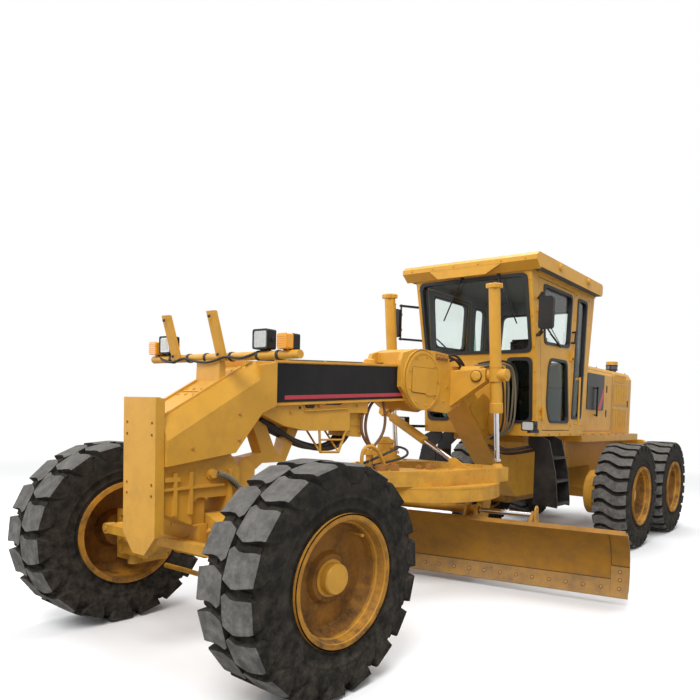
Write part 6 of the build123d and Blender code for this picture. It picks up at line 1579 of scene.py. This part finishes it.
def add_rear_trim():
    shape = bmesh.new()
    for x in (-0.58, -0.30, 0.30, 0.58):
        for z in (0.85, 1.20):
            hex_bolt(shape, (x, Y(7.500), z), (0, 1, 0), 0.016)
    piece("bumper_bolts", shape, "edge", "rear_frame")
    shape = bmesh.new()
    for x in (-0.540, 0.540):
        for k in range(4):
            box(shape, (x - 0.055, Y(7.528), 1.096 + 0.020 * k), (x + 0.055, Y(7.536), 1.103 + 0.020 * k))
        rims = [[(a, Y(7.500), b) for a, b in rounded(oblong(x, 1.130, wide, high), radius)]
                for wide, high, radius in ((0.132, 0.088, 0.01), (0.116, 0.072, 0.008))]
        band(shape, *rims, (0, 0.036, 0))
    piece("tail_lamp_guards", shape, "black", "rear_frame")
    # Covers and oil plugs of the tandem cases
    for sign, side in ((1, "left"), (-1, "right")):
        shape = bmesh.new()
        for s in (REAR_S[0] + 0.32, sum(REAR_S) / 2, REAR_S[1] - 0.32):
            cover = [(0.13, 0), (0.13, 0.008), (0.115, 0.012), (0.020, 0.014)]
            lathe(shape, (sign * 0.799, Y(s), 0.660), (sign, 0, 0), cover, 32)
            for place in disc((sign * 0.807, Y(s), 0.660), (1, 0, 0), 0.120, 8, 0.2):
                hex_bolt(shape, place, (sign, 0, 0), 0.009)
        for s in (5.70, 6.46):
            plug = [(0.040, 0), (0.040, 0.010), (0.022, 0.012), (0.022, 0.026)]
            lathe(shape, (sign * 0.700, Y(s), 0.921), (0, 0, 1), plug, 20)
        piece(f"tandem_covers_{side}", shape, "yellow_low", f"tandem_{side}")
    # Lugs along the deck's edges
    shape = bmesh.new()
    for sign in (1, -1):
        for k in range(6):
            x, s = sign * 0.58, 5.02 + 0.30 * k
            box(shape, (x - 0.008, Y(s), 1.386), (x + 0.008, Y(s + 0.08), 1.396))
    piece("deck_edge_lugs", shape, "yellow_low", "rear_frame")


# Steps: grip strips on the treads, and grab rails beside the doors
def add_step_trim():
    shape = bmesh.new()
    for sign in (1, -1):
        for z in (0.66, 0.90, 1.14):
            for k in range(5):
                x = 0.68 + 0.045 * k
                low, high = sorted((sign * x, sign * (x + 0.014)))
                box(shape, (low, Y(3.57), z + 0.010), (high, Y(3.85), z + 0.0185))
    piece("step_grips", shape, "steel", "front_frame")

    def rail(shape, sign):
        x = sign * 0.790
        rod(shape, (x, Y(4.33), 1.50), (x, Y(4.33), 2.05), 0.012, 12)
        for z in (1.52, 2.03):
            rod(shape, (sign * 0.738, Y(4.33), z), (x, Y(4.33), z), 0.010, 10)

    both_sides("cab_grab_rails", "yellow", "front_frame", rail)


# Axle, lean and steering fittings at the front
def add_axle_trim():
    shape = bmesh.new()
    for sign in (1, -1):
        gland = [(0.030, 0.140), (0.043, 0.142), (0.043, 0.176), (0.030, 0.180)]
        lathe(shape, (sign * 0.345, Y(0.160), 0.562), (sign, 0, 0), gland, 20)
        for z in (0.80, 0.68):
            hex_bolt(shape, (sign * 0.20, Y(-0.0955), z), (0, -1, 0), 0.014)
    piece("axle_bolts", shape, "yellow_low", "front_axle")
    for sign, side in ((1, "left"), (-1, "right")):
        route = ((0.22, 0.165, 0.602), (0.20, 0.190, 0.640), (0.16, 0.180, 0.690), (0.12, 0.140, 0.715),
                 (0.09, 0.085, 0.720))
        places = lie(*((sign * x, s, z) for x, s, z in route))
        tube(f"steering_hose_{side}", places, 0.010, "hose", "front_axle")


add_beam_trim()
add_nose_trim()
add_cover_trim()
add_lamp_faces()
add_beam_hoses()
add_cab_hoses()
add_guarded_hose()
add_saddle_trim()
add_lift_trim()
add_drawbar_trim()
add_circle_teeth()
add_blade_trim()
add_shift_fittings()
add_beam_block()
add_louvres()
add_hood_trim()
add_radiator_guard()
add_rear_trim()
add_step_trim()
add_axle_trim()


# Stage: floor, lamps and a white world
FLOOR_SEEN, FLOOR_LIT = (0.90, 0.90, 0.90), (0.42, 0.42, 0.42)
FLOOR_FADE = (6.0, 16.0)
WORLD_COLOR, WORLD_STRENGTH = (0.95, 0.97, 1.0), 0.60


def seen_rays(tree):
    """Mask of the camera's own rays, and of all that may show the white background: glossy and clear ones too."""
    path = node(tree, "ShaderNodeLightPath")
    camera = path.outputs["Is Camera Ray"]
    seen = maths(tree, "MAXIMUM", camera, path.outputs["Is Glossy Ray"])
    return camera, maths(tree, "MAXIMUM", seen, path.outputs["Is Transmission Ray"])


def shader_mix(tree, share, first, second):
    made = node(tree, "ShaderNodeMixShader")
    for slot, value in enumerate((share, first, second)):
        tree.links.new(value, made.inputs[slot])
    return made.outputs[0]


def glow(tree, kind, color, strength):
    """Emission or background shader of one colour."""
    made = node(tree, kind)
    made.inputs["Color"].default_value = (*color, 1)
    made.inputs["Strength"].default_value = strength
    return made.outputs[0]


def add_floor():
    """Pale floor for the camera and mid grey for the lamps' light; it fades into white away from the machine."""
    bpy.ops.mesh.primitive_plane_add(size=400, location=(0, 0, -0.001))
    floor = bpy.context.object
    floor.name = "floor"
    material = bpy.data.materials.new("floor")
    material.use_nodes = True
    tree = material.node_tree
    shader = tree.nodes["Principled BSDF"]
    shader.inputs["Roughness"].default_value = 0.95
    shader.inputs["Specular IOR Level"].default_value = 0.1
    camera, seen = seen_rays(tree)
    tree.links.new(mix(tree, camera, FLOOR_LIT, FLOOR_SEEN), shader.inputs["Base Color"])
    place = node(tree, "ShaderNodeTexCoord").outputs["Object"]
    away = node(tree, "ShaderNodeVectorMath", operation="LENGTH")
    tree.links.new(place, away.inputs[0])
    far = ramp(tree, away.outputs["Value"], *FLOOR_FADE)
    clear = node(tree, "ShaderNodeBsdfTransparent").outputs[0]
    distant = shader_mix(tree, seen, clear, glow(tree, "ShaderNodeEmission", (1, 1, 1), 1.0))
    both = shader_mix(tree, far, shader.outputs[0], distant)
    tree.links.new(both, tree.nodes["Material Output"].inputs["Surface"])
    floor.data.materials.append(material)


def add_world():
    """Soft light all round, white where it is seen."""
    world = bpy.data.worlds.new("studio")
    scene.world = world
    world.use_nodes = True
    tree = world.node_tree
    soft = glow(tree, "ShaderNodeBackground", WORLD_COLOR, WORLD_STRENGTH)
    white = glow(tree, "ShaderNodeBackground", (1, 1, 1), 1.0)
    seen = seen_rays(tree)[1]
    tree.links.new(shader_mix(tree, seen, soft, white), tree.nodes["World Output"].inputs["Surface"])


LAMPS = (
    # name, place, aim, size, watts
    ("key", (4.5, -10.0, 10.5), (0, -1.0, 1.0), 6.0, 1200),
    ("fill", (-9.0, -6.0, 6.0), (0, 0, 1.0), 8.0, 420),
    ("top", (0.0, 2.0, 11.0), (0, 1.0, 0), 9.0, 900),
)


def add_lamps():
    for name, place, aim, size, watts in LAMPS:
        data = bpy.data.lights.new(name, "AREA")
        data.size = size
        data.energy = watts
        lamp = bpy.data.objects.new(name, data)
        lamp.location = place
        lamp.rotation_euler = (Vector(aim) - Vector(place)).to_track_quat("-Z", "Y").to_euler()
        scene.collection.objects.link(lamp)


add_floor()
add_world()
add_lamps()
